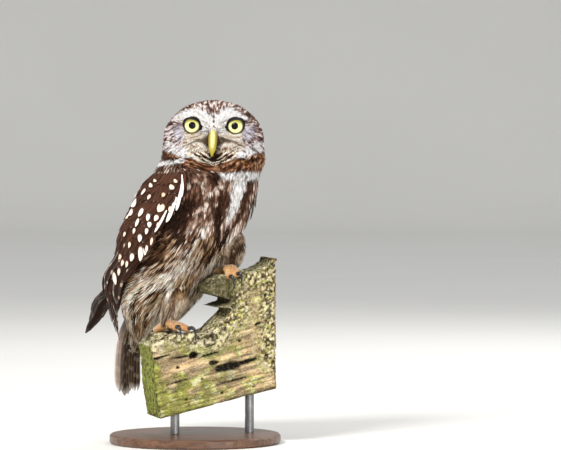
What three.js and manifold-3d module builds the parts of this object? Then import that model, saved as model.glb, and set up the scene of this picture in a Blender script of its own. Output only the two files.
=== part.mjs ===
// A little owl, life size, as a still display model. It stands on a short cut
// length of old timber, right foot on the timber's end and left foot on a
// splintered prong above it, with its face turned to the front. The timber is
// carried by two short rods on a flat round base.
//
// Millimetres, +Z up. The origin is the centre of the base's underside. The face
// looks along -Y. The body is turned HEADING degrees from the face, towards +X.
import * as THREE from "three";
import { mergeVertices } from "three/addons/utils/BufferGeometryUtils.js";
import Module from "manifold-3d";

const wasm = await Module();
wasm.setup();

// ---------------------------------------------------------------- sizes
const HEADING = 45; // degrees from the face's direction to the breast's
const GAP = 0.35; // left between neighbouring pieces
const BODY_X = -0.7; // where the body's own origin stands in X
const CROWN_Z = 240.2; // top of the crown above the floor
const HEAD_X = 13.2; // middle of the face
const HEAD_Y = -12;
const EYE_R = 8.0;
const EYE_SPAN = 30.2; // between the eyes' centres
const EYE_MID = 13.8; // X of the middle between them
const EYE_Z = 222;
const EYE_Y = -28.0;
const LID_R = 6.4; // half width of the opening that the eye shows in
const NECK_TOP = 201;
const NECK_LOW = 189;
const TAIL_TIP_Z = 28;
const TAIL_WIDTH = 24;
const BASE_R = 60;
const BASE_H = 6.5;
const ROD_R = 3.2;
const TIMBER_DEPTH = 42;
const TIMBER_TURN = 14.5; // degrees, the far end is turned away from the front
const TIMBER_FRONT = -24; // Y of the timber's front face at X = TIMBER_PIVOT
const TIMBER_PIVOT = -8.4;

const H = THREE.MathUtils.degToRad(HEADING);
const V = (x, y, z) => new THREE.Vector3(x, y, z);
// A point given in the body's own frame: s forward, t to the bird's right.
const bird = (s, t, z) =>
  V(BODY_X + s * Math.sin(H) - t * Math.cos(H), -s * Math.cos(H) - t * Math.sin(H), z);

// ---------------------------------------------------------------- solids
function indexed(points, faces) {
  const g = new THREE.BufferGeometry();
  g.setAttribute("position", new THREE.Float32BufferAttribute(points.flatMap((p) => [p.x, p.y, p.z]), 3));
  g.setIndex(faces.flat());
  return g;
}

// A closed body through a row of rings with as many points each.
function rings(list) {
  const n = list[0].length;
  const points = list.flat();
  const faces = [];
  for (let j = 0; j + 1 < list.length; j++)
    for (let i = 0; i < n; i++) {
      const a = j * n + i, b = j * n + ((i + 1) % n), c = a + n, d = b + n;
      faces.push([a, b, d], [a, d, c]);
    }
  for (const [j, flip] of [[0, true], [list.length - 1, false]]) {
    const middle = list[j].reduce((m, p) => m.add(p), V(0, 0, 0)).multiplyScalar(1 / n);
    points.push(middle);
    const m = points.length - 1;
    for (let i = 0; i < n; i++) {
      const a = j * n + i, b = j * n + ((i + 1) % n);
      faces.push(flip ? [b, a, m] : [a, b, m]);
    }
  }
  return solid(indexed(points, faces));
}

function solid(geometry) {
  const g = geometry.clone();
  g.deleteAttribute("normal");
  g.deleteAttribute("uv");
  const m = mergeVertices(g, 1e-4);
  const tri = new Uint32Array(m.index.array);
  const p = m.attributes.position.array;
  let volume = 0;
  for (let i = 0; i < tri.length; i += 3) {
    const [a, b, c] = [0, 1, 2].map((k) => V(p[3 * tri[i + k]], p[3 * tri[i + k] + 1], p[3 * tri[i + k] + 2]));
    volume += a.dot(b.cross(c));
  }
  if (volume < 0)
    for (let i = 0; i < tri.length; i += 3) [tri[i + 1], tri[i + 2]] = [tri[i + 2], tri[i + 1]];
  return new wasm.Manifold(new wasm.Mesh({ numProp: 3, vertProperties: new Float32Array(p), triVerts: tri }));
}

// Keeps the largest body of what a cut leaves.
function largest(m) {
  const parts = m.decompose();
  return parts.reduce((a, b) => (b.volume() > a.volume() ? b : a), parts[0]);
}

const group = new THREE.Group();
function add(name, m, look) {
  const mesh = largest(m).getMesh();
  const v = new Float32Array(mesh.numVert * 3);
  for (let i = 0; i < mesh.numVert; i++)
    v.set(mesh.vertProperties.subarray(i * mesh.numProp, i * mesh.numProp + 3), 3 * i);
  const g = new THREE.BufferGeometry();
  g.setAttribute("position", new THREE.BufferAttribute(v, 3));
  g.setIndex(new THREE.BufferAttribute(new Uint32Array(mesh.triVerts), 1));
  g.computeVertexNormals();
  const object = new THREE.Mesh(g, look);
  object.name = name;
  group.add(object);
}

const look = (color, roughness, metalness = 0) => new THREE.MeshStandardMaterial({ color, roughness, metalness });
const BROWN = look(0x6b4a38, 0.9), PALE = look(0xb9a083, 0.92), WING = look(0x4a3026, 0.85);
const YELLOW = look(0xd9cf3a, 0.35), HORN = look(0x2c2a30, 0.3), IRIS = look(0xe6e04a, 0.1);
const SKIN = look(0xc39a6c, 0.7), OLD_WOOD = look(0x8f8a5a, 0.95), STAND = look(0x2a2320, 0.5), STEEL = look(0x8c8f94, 0.3, 1);

// A row of a table at any height, on a smooth curve through the rows.
function row(table, z) {
  const n = table.length;
  if (z <= table[0][0]) return table[0].slice();
  if (z >= table[n - 1][0]) return table[n - 1].slice();
  let i = 0;
  while (table[i + 1][0] < z) i++;
  const at = (k) => table[Math.min(Math.max(k, 0), n - 1)];
  const [a, b, c, d] = [at(i - 1), at(i), at(i + 1), at(i + 2)];
  const h = c[0] - b[0], u = (z - b[0]) / h;
  return b.map((_, k) => {
    const mb = c === a ? 0 : ((c[k] - a[k]) / (c[0] - a[0])) * h;
    const mc = ((d[k] - b[k]) / (d[0] - b[0])) * h;
    const u2 = u * u, u3 = u2 * u;
    return (2 * u3 - 3 * u2 + 1) * b[k] + (u3 - 2 * u2 + u) * mb + (3 * u2 - 2 * u3) * c[k] + (u3 - u2) * mc;
  });
}

// ---------------------------------------------------------------- body
// Level rings of the feathered body, without wings, legs and tail:
// height, middle along the body, half breadth, half depth in front and behind.
const TRUNK = [
  [62, -60, 3.5, 3, 3],
  [70, -54, 9, 8, 8],
  [78, -47, 15, 14, 13],
  [88, -41, 23, 20, 20],
  [98, -36, 28.5, 26, 24],
  [107, -31.5, 31.5, 30, 27],
  [117, -27, 34.5, 33.5, 30],
  [128, -21.5, 38, 37.5, 34],
  [138, -15.5, 40, 41, 38],
  [149, -10.5, 41, 42.5, 40],
  [160, -5.5, 41, 43, 40],
  [170, 0.5, 40, 42.5, 39],
  [181, 7.5, 38.5, 40, 37],
  [190, 12.5, 37.2, 38, 36],
  [198, 16.5, 36.5, 37, 35],
];
// The same for the neck and head, in the face's frame: height, half breadth,
// half depth in front and behind.
const HEAD = [
  [196, 36.8, 31, 33],
  [201, 35.8, 29, 32],
  [207, 35.2, 27.5, 31.5],
  [213, 34.8, 27, 31],
  [219, 33.8, 26.5, 30],
  [224.4, 31.9, 25.5, 28.5],
  [228.5, 28.8, 23.5, 26.5],
  [233, 23, 19.5, 22],
  [236.5, 16.5, 14.5, 16.5],
  [239, 8.5, 8, 9],
  [CROWN_Z, 1.6, 1.6, 1.8],
];
const smooth = (a, b, x) => {
  const u = Math.min(Math.max((x - a) / (b - a), 0), 1);
  return u * u * (3 - 2 * u);
};
const bump = (x, m, w) => Math.exp(-(((x - m) / w) ** 2));
const rounded = (c, n) => Math.sign(c) * Math.abs(c) ** (2 / n);

// What stands out of the head's plain shape: brows, cheeks and the bristled
// ridge above the bill; the eyes lie in hollows.
function face(x, z) {
  const e = Math.abs(x) - EYE_SPAN / 2;
  return (
    2.6 * bump(e, -0.5, 8.5) * bump(z, 229.8, 3.4) +
    1.8 * bump(e, 7, 6) * bump(z, 208, 7) +
    1.6 * bump(e, 10, 4) * bump(z, 222, 9) -
    2.6 * bump(e, 0, 6.5) * bump(z, EYE_Z - 0.5, 5.8) +
    3.4 * bump(x, 0, 5.2) * bump(z, 217, 8) +
    1.2 * bump(Math.abs(x), 9, 6) * bump(z, 208.5, 4.5)
  );
}

// One point of the whole feathered surface, grown outwards by d. The angle is
// taken from the face's direction, so that rings of neck and trunk don't twist.
function flesh(z, angle, d) {
  const up = smooth(186, 203, z);
  const [, c, a1, f1, b1] = row(TRUNK, Math.min(z, 198));
  const [, a2, f2, b2] = row(HEAD, Math.max(z, 196));
  const mix = (p, q) => p + (q - p) * up;
  const x0 = mix(BODY_X + c * Math.sin(H), HEAD_X), y0 = mix(-c * Math.cos(H), HEAD_Y);
  const turn = mix(H, 0), n = mix(2.05, 2.3);
  const a = mix(a1, a2), f = mix(f1, f2), b = mix(b1, b2);
  const cos = rounded(Math.cos(angle + turn), n), sin = rounded(Math.sin(angle + turn), n);
  let fore = (cos > 0 ? f : b) * cos, side = a * sin; // side: to the bird's right
  const k = 1 + d / Math.max(4, Math.hypot(fore, side));
  fore *= k;
  side *= k;
  if (cos > 0 && up > 0) {
    const out = face(-side, z) * up * smooth(0, 0.45, cos);
    const l = Math.hypot(fore, side);
    fore += (out * fore) / l;
    side += (out * side * 0.4) / l;
  }
  return V(x0 + fore * Math.sin(turn) - side * Math.cos(turn), y0 - fore * Math.cos(turn) - side * Math.sin(turn), z);
}
function fleshBetween(low, high, d, sides, step) {
  const list = [];
  const rows = Math.max(2, Math.round((high - low) / step));
  for (let j = 0; j <= rows; j++) {
    const z = low + ((high - low) * j) / rows;
    list.push(Array.from({ length: sides }, (_, i) => flesh(z, (2 * Math.PI * i) / sides, d)));
  }
  return rings(list);
}
const trunk = (d) => fleshBetween(62 - d, NECK_LOW - 0.2 + d, d, 26, 8.5);
const neck = (d) => fleshBetween(NECK_LOW + 0.2 - d, NECK_TOP - 0.2 + d, d, 36, 4);
function head(d) {
  const list = [];
  const levels = [NECK_TOP + 0.2 - d];
  for (let z = NECK_TOP + 3; z < 233; z += 3.3) levels.push(z);
  levels.push(234.5, 237, 239, CROWN_Z + d);
  for (const z of levels) list.push(Array.from({ length: 36 }, (_, i) => flesh(z, (2 * Math.PI * i) / 36, d)));
  return rings(list);
}

// ---------------------------------------------------------------- tubes
// A round or flat tube along a smooth curve. widths: half breadth and half
// depth at each given point. side: the direction of the breadth.
function tube(points, widths, side, d, sides = 12, steps = 3) {
  const curve = new THREE.CatmullRomCurve3(points, false, "centripetal");
  const n = (points.length - 1) * steps;
  const list = [];
  for (let j = 0; j <= n; j++) {
    const u = j / n;
    const p = curve.getPoint(u), t = curve.getTangent(u);
    const across = side.clone().addScaledVector(t, -side.dot(t)).normalize();
    const deep = t.clone().cross(across);
    const k = Math.min(Math.floor(u * (points.length - 1)), points.length - 2), v = u * (points.length - 1) - k;
    const w = widths[k].map((x, i) => x + (widths[k + 1][i] - x) * v + d);
    if (j === 0) p.addScaledVector(t, -d);
    if (j === n) p.addScaledVector(t, d);
    list.push(
      Array.from({ length: sides }, (_, i) => {
        const q = (2 * Math.PI * i) / sides;
        return p.clone().addScaledVector(across, w[0] * Math.cos(q)).addScaledVector(deep, w[1] * Math.sin(q));
      }),
    );
  }
  return rings(list);
}

// ---------------------------------------------------------------- wings
// Stations down a folded wing, in the body's frame: height; front edge s, t;
// rear edge s, t; the arc's pull outwards s, t; thickness.
const NEAR_WING = [
  [190, 29.5, 35.3, -16.4, 25.2, 1.8, 46.8, 4],
  [178, 27.5, 36.5, -28, 24, -6, 54, 9],
  [161, 17, 39.5, -43, 17, -19, 62, 10],
  [146, 3.6, 42.4, -53, 13, -32, 61, 10],
  [131, -10, 42.5, -61, 10, -44, 50, 9],
  [117, -26, 39, -69, 10, -66, 41, 7],
  [107, -39, 34, -74, 12, -70, 32, 4],
  [96, -51, 24.5, -76, 12, -68, 24, 2.6],
  [83, -54, 20, -73, 11, -66, 19, 2.2],
  [69, -59, 16, -62, 13, -61, 15.5, 1.4],
];
const FAR_WING = [
  [190, 29.5, -35.3, -16.4, -25.2, 1.8, -46.8, 4],
  [178, 26.5, -35.5, -28, -24, -6, -51, 9],
  [161, 17, -39, -43, -17, -19, -60, 10],
  [146, 4, -41.5, -54, -12.5, -33, -60, 10],
  [131, -10, -40, -66, -9, -46, -50, 9],
  [118, -32, -33.5, -79, -5, -62, -34, 7],
  [107, -60, -19, -92, -2, -82, -18, 4],
  [96, -88, -5, -103, 1, -97, -6, 2.6],
  [84, -97, -2, -109, 2, -104, -3, 2.2],
  [71.5, -110, 2, -114, 3, -112, 2, 1.4],
];
function wing(table, d) {
  const top = table[0][0], low = table[table.length - 1][0], hand = Math.sign(table[2][2]);
  const up = table.slice().reverse();
  const list = [];
  const rows = 14, across = 7;
  for (let j = 0; j <= rows; j++) {
    const z = low + ((top - low) * j) / rows;
    const [, fs, ft, bs, bt, cs, ct, thick] = row(up, z);
    const zz = j === 0 ? z - d : j === rows ? z + d : z;
    const outer = [], inner = [];
    for (let i = 0; i <= across; i++) {
      const q = i / across, a = (1 - q) ** 2, b = 2 * q * (1 - q), c = q * q;
      const s = a * fs + b * cs + c * bs, t = a * ft + b * ct + c * bt;
      // outward direction, square to the arc
      let ds = 2 * (1 - q) * (cs - fs) + 2 * q * (bs - cs), dt = 2 * (1 - q) * (ct - ft) + 2 * q * (bt - ct);
      const l = Math.hypot(ds, dt) || 1;
      const ns = (-dt / l) * -hand, nt = (ds / l) * -hand;
      const edge = 0.25 + 0.75 * Math.sin(Math.PI * Math.min(Math.max(q, 0.04), 0.96)) ** 0.6;
      const es = (i === 0 ? -ds : i === across ? ds : 0) / l, et = (i === 0 ? -dt : i === across ? dt : 0) / l;
      const deep = Math.max(0.6, thick * edge);
      outer.push(bird(s + ns * d + es * d, t + nt * d + et * d, zz));
      inner.push(bird(s - ns * (deep + d) + es * d, t - nt * (deep + d) + et * d, zz));
    }
    list.push([...outer, ...inner.reverse()]);
  }
  return rings(list);
}

// ---------------------------------------------------------------- tail
function tail(d) {
  // Height, middle s, half width, half thickness; the vane is slightly roofed.
  const stations = [
    [101, -55, 7, 3],
    [88, -62, 10, 2.8],
    [72, -67.5, TAIL_WIDTH / 2 - 0.6, 2.1],
    [54, -69.6, TAIL_WIDTH / 2, 1.7],
    [38, -70.2, TAIL_WIDTH / 2, 1.3],
    [TAIL_TIP_Z + 3, -70, TAIL_WIDTH / 2 - 2.4, 1.0],
    [TAIL_TIP_Z, -70, TAIL_WIDTH / 2 - 6.5, 0.8],
  ];
  const list = [];
  const n = 6;
  stations.forEach(([z, s, w, h], k) => {
    const zz = k === 0 ? z + d : k === stations.length - 1 ? z - d : z;
    const ring = [];
    for (const [sign, seq] of [[1, 0], [-1, 1]])
      for (let i = 0; i <= n; i++) {
        const q = (seq ? n - i : i) / n, x = (q * 2 - 1) * (w + d);
        ring.push(bird(s + 1.8 * (x / w) ** 2 - sign * (h * (1 - 0.6 * (q * 2 - 1) ** 2) + d), x, zz));
      }
    list.push(ring);
  });
  return rings(list);
}

// ---------------------------------------------------------------- eyes, bill
const ball = (c, r, w = 14, h = 9) => solid(new THREE.SphereGeometry(r, w, h).rotateX(Math.PI / 2).translate(c.x, c.y, c.z));
const EYE = { right: V(EYE_MID - EYE_SPAN / 2, EYE_Y, EYE_Z), left: V(EYE_MID + EYE_SPAN / 2, EYE_Y, EYE_Z - 0.4) };
const eye = (side, d) => ball(EYE[side], EYE_R + d);
// The hollow in front of an eye: a cone from the lids outwards.
function socket(side) {
  const e = EYE[side], lid = Math.sqrt(EYE_R ** 2 - LID_R ** 2), r = LID_R + GAP, deep = 14;
  const cone = new THREE.CylinderGeometry(r, r + 6, deep, 16);
  return solid(cone.translate(e.x, e.y - lid - deep / 2, e.z));
}
const UPPER_BILL = [V(13.4, -33, 220.5), V(13.4, -39.5, 217.8), V(13.3, -43.6, 212.5), V(13.0, -45, 206.5), V(12.6, -43.2, 201)];
const UPPER_WIDTHS = [[2.7, 3], [3.4, 3.6], [3.7, 3.6], [2.7, 2.6], [0.6, 0.6]];
const upperBill = (d) => tube(UPPER_BILL, UPPER_WIDTHS, V(1, 0, 0), d, 10, 3);
const lowerBill = (d) =>
  tube([V(13.3, -33, 207.6), V(13.2, -37.5, 206.4), V(13, -40.8, 204.6)], [[3.3, 2.4], [2.9, 2.1], [1.2, 0.9]], V(1, 0, 0), d, 10, 2);

// ---------------------------------------------------------------- legs, feet
const LEG = {
  right: [[V(-12.5, 2, 116), V(-13.5, -2.5, 104), V(-16.5, -5.5, 94), V(-18.5, -6.8, 85.5)], [[11, 11], [9.6, 9.6], [7.2, 7.2], [4.8, 4.8]]],
  left: [[V(13, 3, 154), V(21.5, 1.5, 141), V(23.6, 0.6, 131), V(22, -0.4, 125)], [[15, 13], [12.5, 12], [9, 9], [5, 5]]],
};
const leg = (side, d) => tube(LEG[side][0], LEG[side][1], V(1, 0, 0), d, 12, 2);
// Each toe runs from the ankle over a knuckle to its end, then carries a claw.
const ANKLE = { right: V(-18.5, -6.8, 83.4), left: V(22, -0.6, 122.8) };
const TOES = {
  right: [
    [V(-16, -16, 83.6), V(-12.6, -23.4, 81.8), V(-9.6, -28.2, 80.4), V(-8.6, -29.2, 73.8)],
    [V(-11, -13.5, 82.4), V(-4.4, -21.2, 80.6), V(0.8, -26, 79.4), V(1.2, -26.6, 72.4)],
    [V(-24, -1, 80.6), V(-27.6, 4, 78), V(-30, 8.6, 76.8), V(-31, 10.6, 72.6)],
    [V(-18, 0.8, 81.8), V(-17.8, 7, 80.2), V(-17.8, 12, 79.6), V(-17.8, 14.2, 76.2)],
  ],
  left: [
    [V(23.2, -9.5, 121.6), V(24.8, -17.2, 116.9), V(27.2, -21.2, 114.8), V(28, -20.6, 109.6)],
    [V(26.4, -7.5, 122), V(29.8, -15.4, 118.6), V(33, -19.2, 116.8), V(32.4, -19.2, 111)],
    [V(17, 2.6, 120.8), V(13.2, 5.4, 118.6), V(10.4, 8, 117.6), V(9.2, 9.6, 114)],
    [V(21, 6.5, 121.4), V(20, 12, 120), V(19.2, 16.6, 119.2), V(19, 19, 116)],
  ],
};
const TOE_R = [3.7, 3.5, 2.9];
function foot(side, d) {
  const a = ANKLE[side];
  let whole = tube([a.clone().add(V(0, 0, 1.9)), a, a.clone().add(V(0, 0, -1.4))], [[4.9, 4.9], [5, 4.8], [3.6, 3.4]], V(1, 0, 0), d, 10, 1);
  for (const [knuckle, end] of TOES[side])
    whole = whole.add(tube([a, knuckle, end], TOE_R.map((r) => [r, r * 0.92]), V(0, 0, 1), d, 7, 2));
  return whole;
}
function claw(side, i, d) {
  const [knuckle, end, bend, tip] = TOES[side][i];
  const out = end.clone().sub(knuckle).normalize();
  const root = end.clone().addScaledVector(out, 1.2).add(V(0, 0, 0.9));
  const high = root.clone().lerp(bend, 0.55).add(V(0, 0, 1.5));
  const level = V(out.y, -out.x, 0).normalize(); // square to the toe
  return tube([root, high, bend, tip], [[1.6, 1.6], [1.4, 1.45], [1.0, 1.1], [0.35, 0.35]], level, d, 6, 2);
}

// ---------------------------------------------------------------- timber
// The front outline, X and Z: the left end, the worn top edge, a low splinter,
// the prong with the void beneath it, the cut right end and the sawn underside.
const OUTLINE = [
  [-24.5, 18], [-28.6, 43], [-29.6, 60], [-31.6, 69], [-28, 73], [-22, 76.8], [-9, 77.6], [3, 77.4], [11, 79], [17, 83.4],
  [23.5, 89.4], [27.6, 94.2], [15.5, 95.6], [27.4, 99.8], [20, 102.6], [8.4, 105.2], [6.2, 111], [11.2, 116],
  [18, 118], [26, 118.6], [34, 120.6], [43, 121], [52, 124.2], [60, 131], [60, 38],
];
function timber() {
  const shape = new THREE.Shape(OUTLINE.map(([x, z]) => new THREE.Vector2(x, z)));
  const g = new THREE.ExtrudeGeometry(shape, { depth: TIMBER_DEPTH, bevelEnabled: false, steps: 1 });
  g.rotateX(Math.PI / 2); // now X, Z as drawn, and the depth runs along -Y
  g.translate(-TIMBER_PIVOT, TIMBER_DEPTH, 0);
  g.rotateZ(THREE.MathUtils.degToRad(TIMBER_TURN));
  g.translate(TIMBER_PIVOT, TIMBER_FRONT, 0);
  return solid(g);
}

// ---------------------------------------------------------------- stand
const disc = (r, low, high, x = 0, y = 0, sides = 24) =>
  solid(new THREE.CylinderGeometry(r, r, high - low, sides).rotateX(Math.PI / 2).translate(x, y, (low + high) / 2));
const RODS = { front: [-14, -5], back: [38, 6] };
function base() {
  const edge = 1.2;
  const round = new THREE.Shape().absarc(0, 0, BASE_R - edge, 0, 2 * Math.PI);
  const g = new THREE.ExtrudeGeometry(round, {
    depth: BASE_H - 2 * edge, bevelThickness: edge, bevelSize: edge, bevelSegments: 1, curveSegments: 20,
  });
  return solid(g.translate(0, 0, edge));
}

// ---------------------------------------------------------------- assembly
const cut = (m, ...tools) => tools.reduce((a, b) => a.subtract(b), m);
const trunkGrown = trunk(GAP), neckGrown = neck(GAP);
const wingGrown = { right: wing(NEAR_WING, GAP), left: wing(FAR_WING, GAP) };

add("head", cut(head(0), eye("right", GAP), eye("left", GAP), socket("right"), socket("left"), upperBill(GAP), lowerBill(GAP)), BROWN);
add("eye_right", eye("right", 0), IRIS);
add("eye_left", eye("left", 0), IRIS);
add("bill_upper", upperBill(0), YELLOW);
add("bill_lower", cut(lowerBill(0), upperBill(GAP)), YELLOW);
add("neck", neck(0), BROWN);

let wood = timber();
for (const side of ["right", "left"]) {
  wood = wood.subtract(foot(side, GAP));
  for (let i = 0; i < 4; i++) wood = wood.subtract(claw(side, i, GAP));
}
const woodGrown = [[1, 0, 0], [-1, 0, 0], [0, 1, 0], [0, -1, 0], [0, 0, 1], [0, 0, -1]]
  .map((way) => timber().translate(way.map((x) => x * GAP)))
  .reduce((a, b) => a.add(b));
const CLAWS = [0, 1, 2, 3];
const feetGrown = ["right", "left"].flatMap((side) => [foot(side, GAP), ...CLAWS.map((i) => claw(side, i, GAP))]);
add("trunk", cut(trunk(0), woodGrown, ...feetGrown), PALE);
add("wing_right", cut(wing(NEAR_WING, 0), trunkGrown, neckGrown), WING);
add("wing_left", cut(wing(FAR_WING, 0), trunkGrown, neckGrown, wingGrown.right), WING);
add("tail", cut(tail(0), trunkGrown, wingGrown.right, wingGrown.left), WING);
for (const side of ["right", "left"]) {
  add("leg_" + side, cut(leg(side, 0), trunkGrown, woodGrown, wingGrown[side], ...feetGrown), PALE);
  add("foot_" + side, foot(side, 0), SKIN);
  for (let i = 0; i < 4; i++) add(`claw_${side}_${i + 1}`, cut(claw(side, i, 0), foot(side, GAP)), HORN);
}
add("perch_timber", wood, OLD_WOOD);
add("stand_base", base(), STAND);
for (const [name, [x, y]] of Object.entries(RODS)) {
  const column = disc(ROD_R, BASE_H + GAP, 60, x, y, 16);
  // the rod ends against the timber's underside
  add("stand_rod_" + name, cut(column, timber().translate([0, 0, -GAP])), STEEL);
}

export default group;
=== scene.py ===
import math

import bpy
import numpy as np
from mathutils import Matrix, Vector
from mathutils.bvhtree import BVHTree
from mathutils.kdtree import KDTree


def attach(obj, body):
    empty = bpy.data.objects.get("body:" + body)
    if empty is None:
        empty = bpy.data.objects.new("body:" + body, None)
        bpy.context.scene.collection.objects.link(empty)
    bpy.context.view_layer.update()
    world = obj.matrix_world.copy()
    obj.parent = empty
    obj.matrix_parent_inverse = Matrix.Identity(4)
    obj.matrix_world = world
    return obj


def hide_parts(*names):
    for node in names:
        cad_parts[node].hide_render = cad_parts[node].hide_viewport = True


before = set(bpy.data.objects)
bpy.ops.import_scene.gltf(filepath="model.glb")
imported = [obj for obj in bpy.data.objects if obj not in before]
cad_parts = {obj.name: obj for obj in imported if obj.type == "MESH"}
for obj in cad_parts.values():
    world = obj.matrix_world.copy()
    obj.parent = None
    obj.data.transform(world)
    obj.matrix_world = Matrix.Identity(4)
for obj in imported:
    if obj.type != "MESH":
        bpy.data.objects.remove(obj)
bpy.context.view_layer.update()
scene = bpy.context.scene
MM = 0.001

# ------------------------------------------------------------------ camera
TARGET = Vector((59.85, 0.0, 152.6)) * MM
RANGE, TILT = 2.5, math.radians(1.5)
cam_data = bpy.data.cameras.new("camera")
cam = bpy.data.objects.new("camera", cam_data)
scene.collection.objects.link(cam)
scene.camera = cam
cam.location = TARGET + RANGE * Vector((0, -math.cos(TILT), math.sin(TILT)))
cam.rotation_euler = (TARGET - cam.location).to_track_quat("-Z", "Y").to_euler()
cam_data.sensor_width = 36
cam_data.lens = 229.2
cam_data.clip_start, cam_data.clip_end = 0.05, 30

# ------------------------------------------------------------------ the owl's form
H = math.radians(45)
SH, CH = math.sin(H), math.cos(H)
BODY_X, HEAD_X, HEAD_Y, CROWN_Z = -0.7, 13.2, -12.0, 240.2
EYE_R, EYE_MID, EYE_SPAN, EYE_Z, EYE_Y = 8.0, 13.8, 30.2, 222.0, -28.0
EYES = {
    "right": np.array([EYE_MID - EYE_SPAN / 2, EYE_Y, EYE_Z]),
    "left": np.array([EYE_MID + EYE_SPAN / 2, EYE_Y, EYE_Z - 0.4]),
}
TRUNK = np.array([
    [62, -60, 3.5, 3, 3], [70, -54, 9, 8, 8], [78, -47, 15, 14, 13], [88, -41, 23, 20, 20], [98, -36, 28.5, 26, 24],
    [107, -31.5, 31.5, 30, 27], [117, -27, 34.5, 33.5, 30], [128, -21.5, 38, 37.5, 34], [138, -15.5, 40, 41, 38],
    [149, -10.5, 41, 42.5, 40], [160, -5.5, 41, 43, 40], [170, 0.5, 40, 42.5, 39], [181, 7.5, 38.5, 40, 37],
    [190, 12.5, 37.2, 38, 36], [198, 16.5, 36.5, 37, 35],
], float)
HEAD = np.array([
    [196, 36.8, 31, 33], [201, 35.8, 29, 32], [207, 35.2, 27.5, 31.5], [213, 34.8, 27, 31], [219, 33.8, 26.5, 30],
    [224.4, 31.0, 25.5, 28.5], [228.5, 27.7, 23.5, 26.5], [233, 22.6, 19.8, 22.6], [236.5, 17.0, 15.0, 17.2],
    [239, 8.5, 8, 9], [CROWN_Z, 1.6, 1.6, 1.8],
], float)
# height; front edge s, t; rear edge s, t; the arc's pull outwards s, t; thickness
NEAR_WING = np.array([
    [190, 29.5, 35.3, -16.4, 25.2, 1.8, 46.8, 4], [178, 27.5, 36.5, -28, 24, -6, 54, 9],
    [161, 17, 39.5, -43, 17, -19, 62, 10], [146, 3.6, 42.4, -53, 13, -32, 61, 10], [131, -10, 42.5, -61, 10, -44, 50, 9],
    [117, -26, 39, -69, 10, -66, 41, 7], [107, -39, 34, -74, 12, -70, 32, 4], [96, -51, 24.5, -76, 12, -68, 24, 2.6],
    [83, -54, 20, -73, 11, -66, 19, 2.2], [69, -59, 16, -62, 13, -61, 15.5, 1.4],
][::-1], float)
FAR_WING = np.array([
    [190, 29.5, -35.3, -16.4, -25.2, 1.8, -46.8, 4], [178, 26.5, -35.5, -28, -24, -6, -51, 9],
    [161, 17, -39, -43, -17, -19, -60, 10], [146, 4, -41.5, -54, -12.5, -33, -60, 10], [131, -10, -40, -66, -9, -46, -50, 9],
    [118, -32, -33.5, -79, -5, -62, -34, 7], [107, -60, -19, -92, -2, -82, -18, 4], [96, -88, -5, -103, 1, -97, -6, 2.6],
    [84, -97, -2, -109, 2, -104, -3, 2.2], [71.5, -110, 2, -114, 3, -112, 2, 1.4],
][::-1], float)
TAIL = np.array([[28, -70, 5.5, 0.8], [31, -70, 9.6, 1], [38, -70.2, 12, 1.3], [54, -69.6, 12, 1.7], [72, -67.5, 11.4, 2.1],
                 [88, -62, 10, 2.8], [101, -55, 7, 3]], float)


def bird(s, t, z):
    """A point of the body's own frame: s forward, t to the bird's right."""
    s, t, z = np.broadcast_arrays(np.asarray(s, float), np.asarray(t, float), np.asarray(z, float))
    return np.stack([BODY_X + s * SH - t * CH, -s * CH - t * SH, z], -1)


def to_bird(p):
    x, y = p[..., 0] - BODY_X, p[..., 1]
    return x * SH - y * CH, -x * CH - y * SH, p[..., 2]


def row(t, z):
    z = np.clip(np.asarray(z, float), t[0, 0], t[-1, 0])
    n = len(t)
    i = np.clip(np.searchsorted(t[:, 0], z, side="left") - 1, 0, n - 2)
    a, b, c, d = t[np.maximum(i - 1, 0)], t[i], t[i + 1], t[np.minimum(i + 2, n - 1)]
    h = (c[..., :1] - b[..., :1])
    u = (z[..., None] - b[..., :1]) / h
    mb, mc = (c - a) / (c[..., :1] - a[..., :1]) * h, (d - b) / (d[..., :1] - b[..., :1]) * h
    u2, u3 = u * u, u * u * u
    return (2 * u3 - 3 * u2 + 1) * b + (u3 - 2 * u2 + u) * mb + (3 * u2 - 2 * u3) * c + (u3 - u2) * mc


def smooth(a, b, x):
    u = np.clip((x - a) / (b - a), 0, 1)
    return u * u * (3 - 2 * u)


def bump(x, m, w):
    return np.exp(-(((x - m) / w) ** 2))


def unit(v):
    return v / np.maximum(np.linalg.norm(v, axis=-1, keepdims=True), 1e-9)


def relief(x, z):
    """Brows, cheeks and the bristled ridge over the bill, as in the solids."""
    e = np.abs(x) - EYE_SPAN / 2
    return (2.6 * bump(e, -0.5, 8.5) * bump(z, 229.8, 3.4) + 1.8 * bump(e, 7, 6) * bump(z, 208, 7)
            + 1.6 * bump(e, 10, 4) * bump(z, 222, 9) - 2.6 * bump(e, 0, 6.5) * bump(z, EYE_Z - 0.5, 5.8)
            + 3.4 * bump(x, 0, 5.2) * bump(z, 217, 8) + 1.2 * bump(np.abs(x), 9, 6) * bump(z, 208.5, 4.5))


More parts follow.
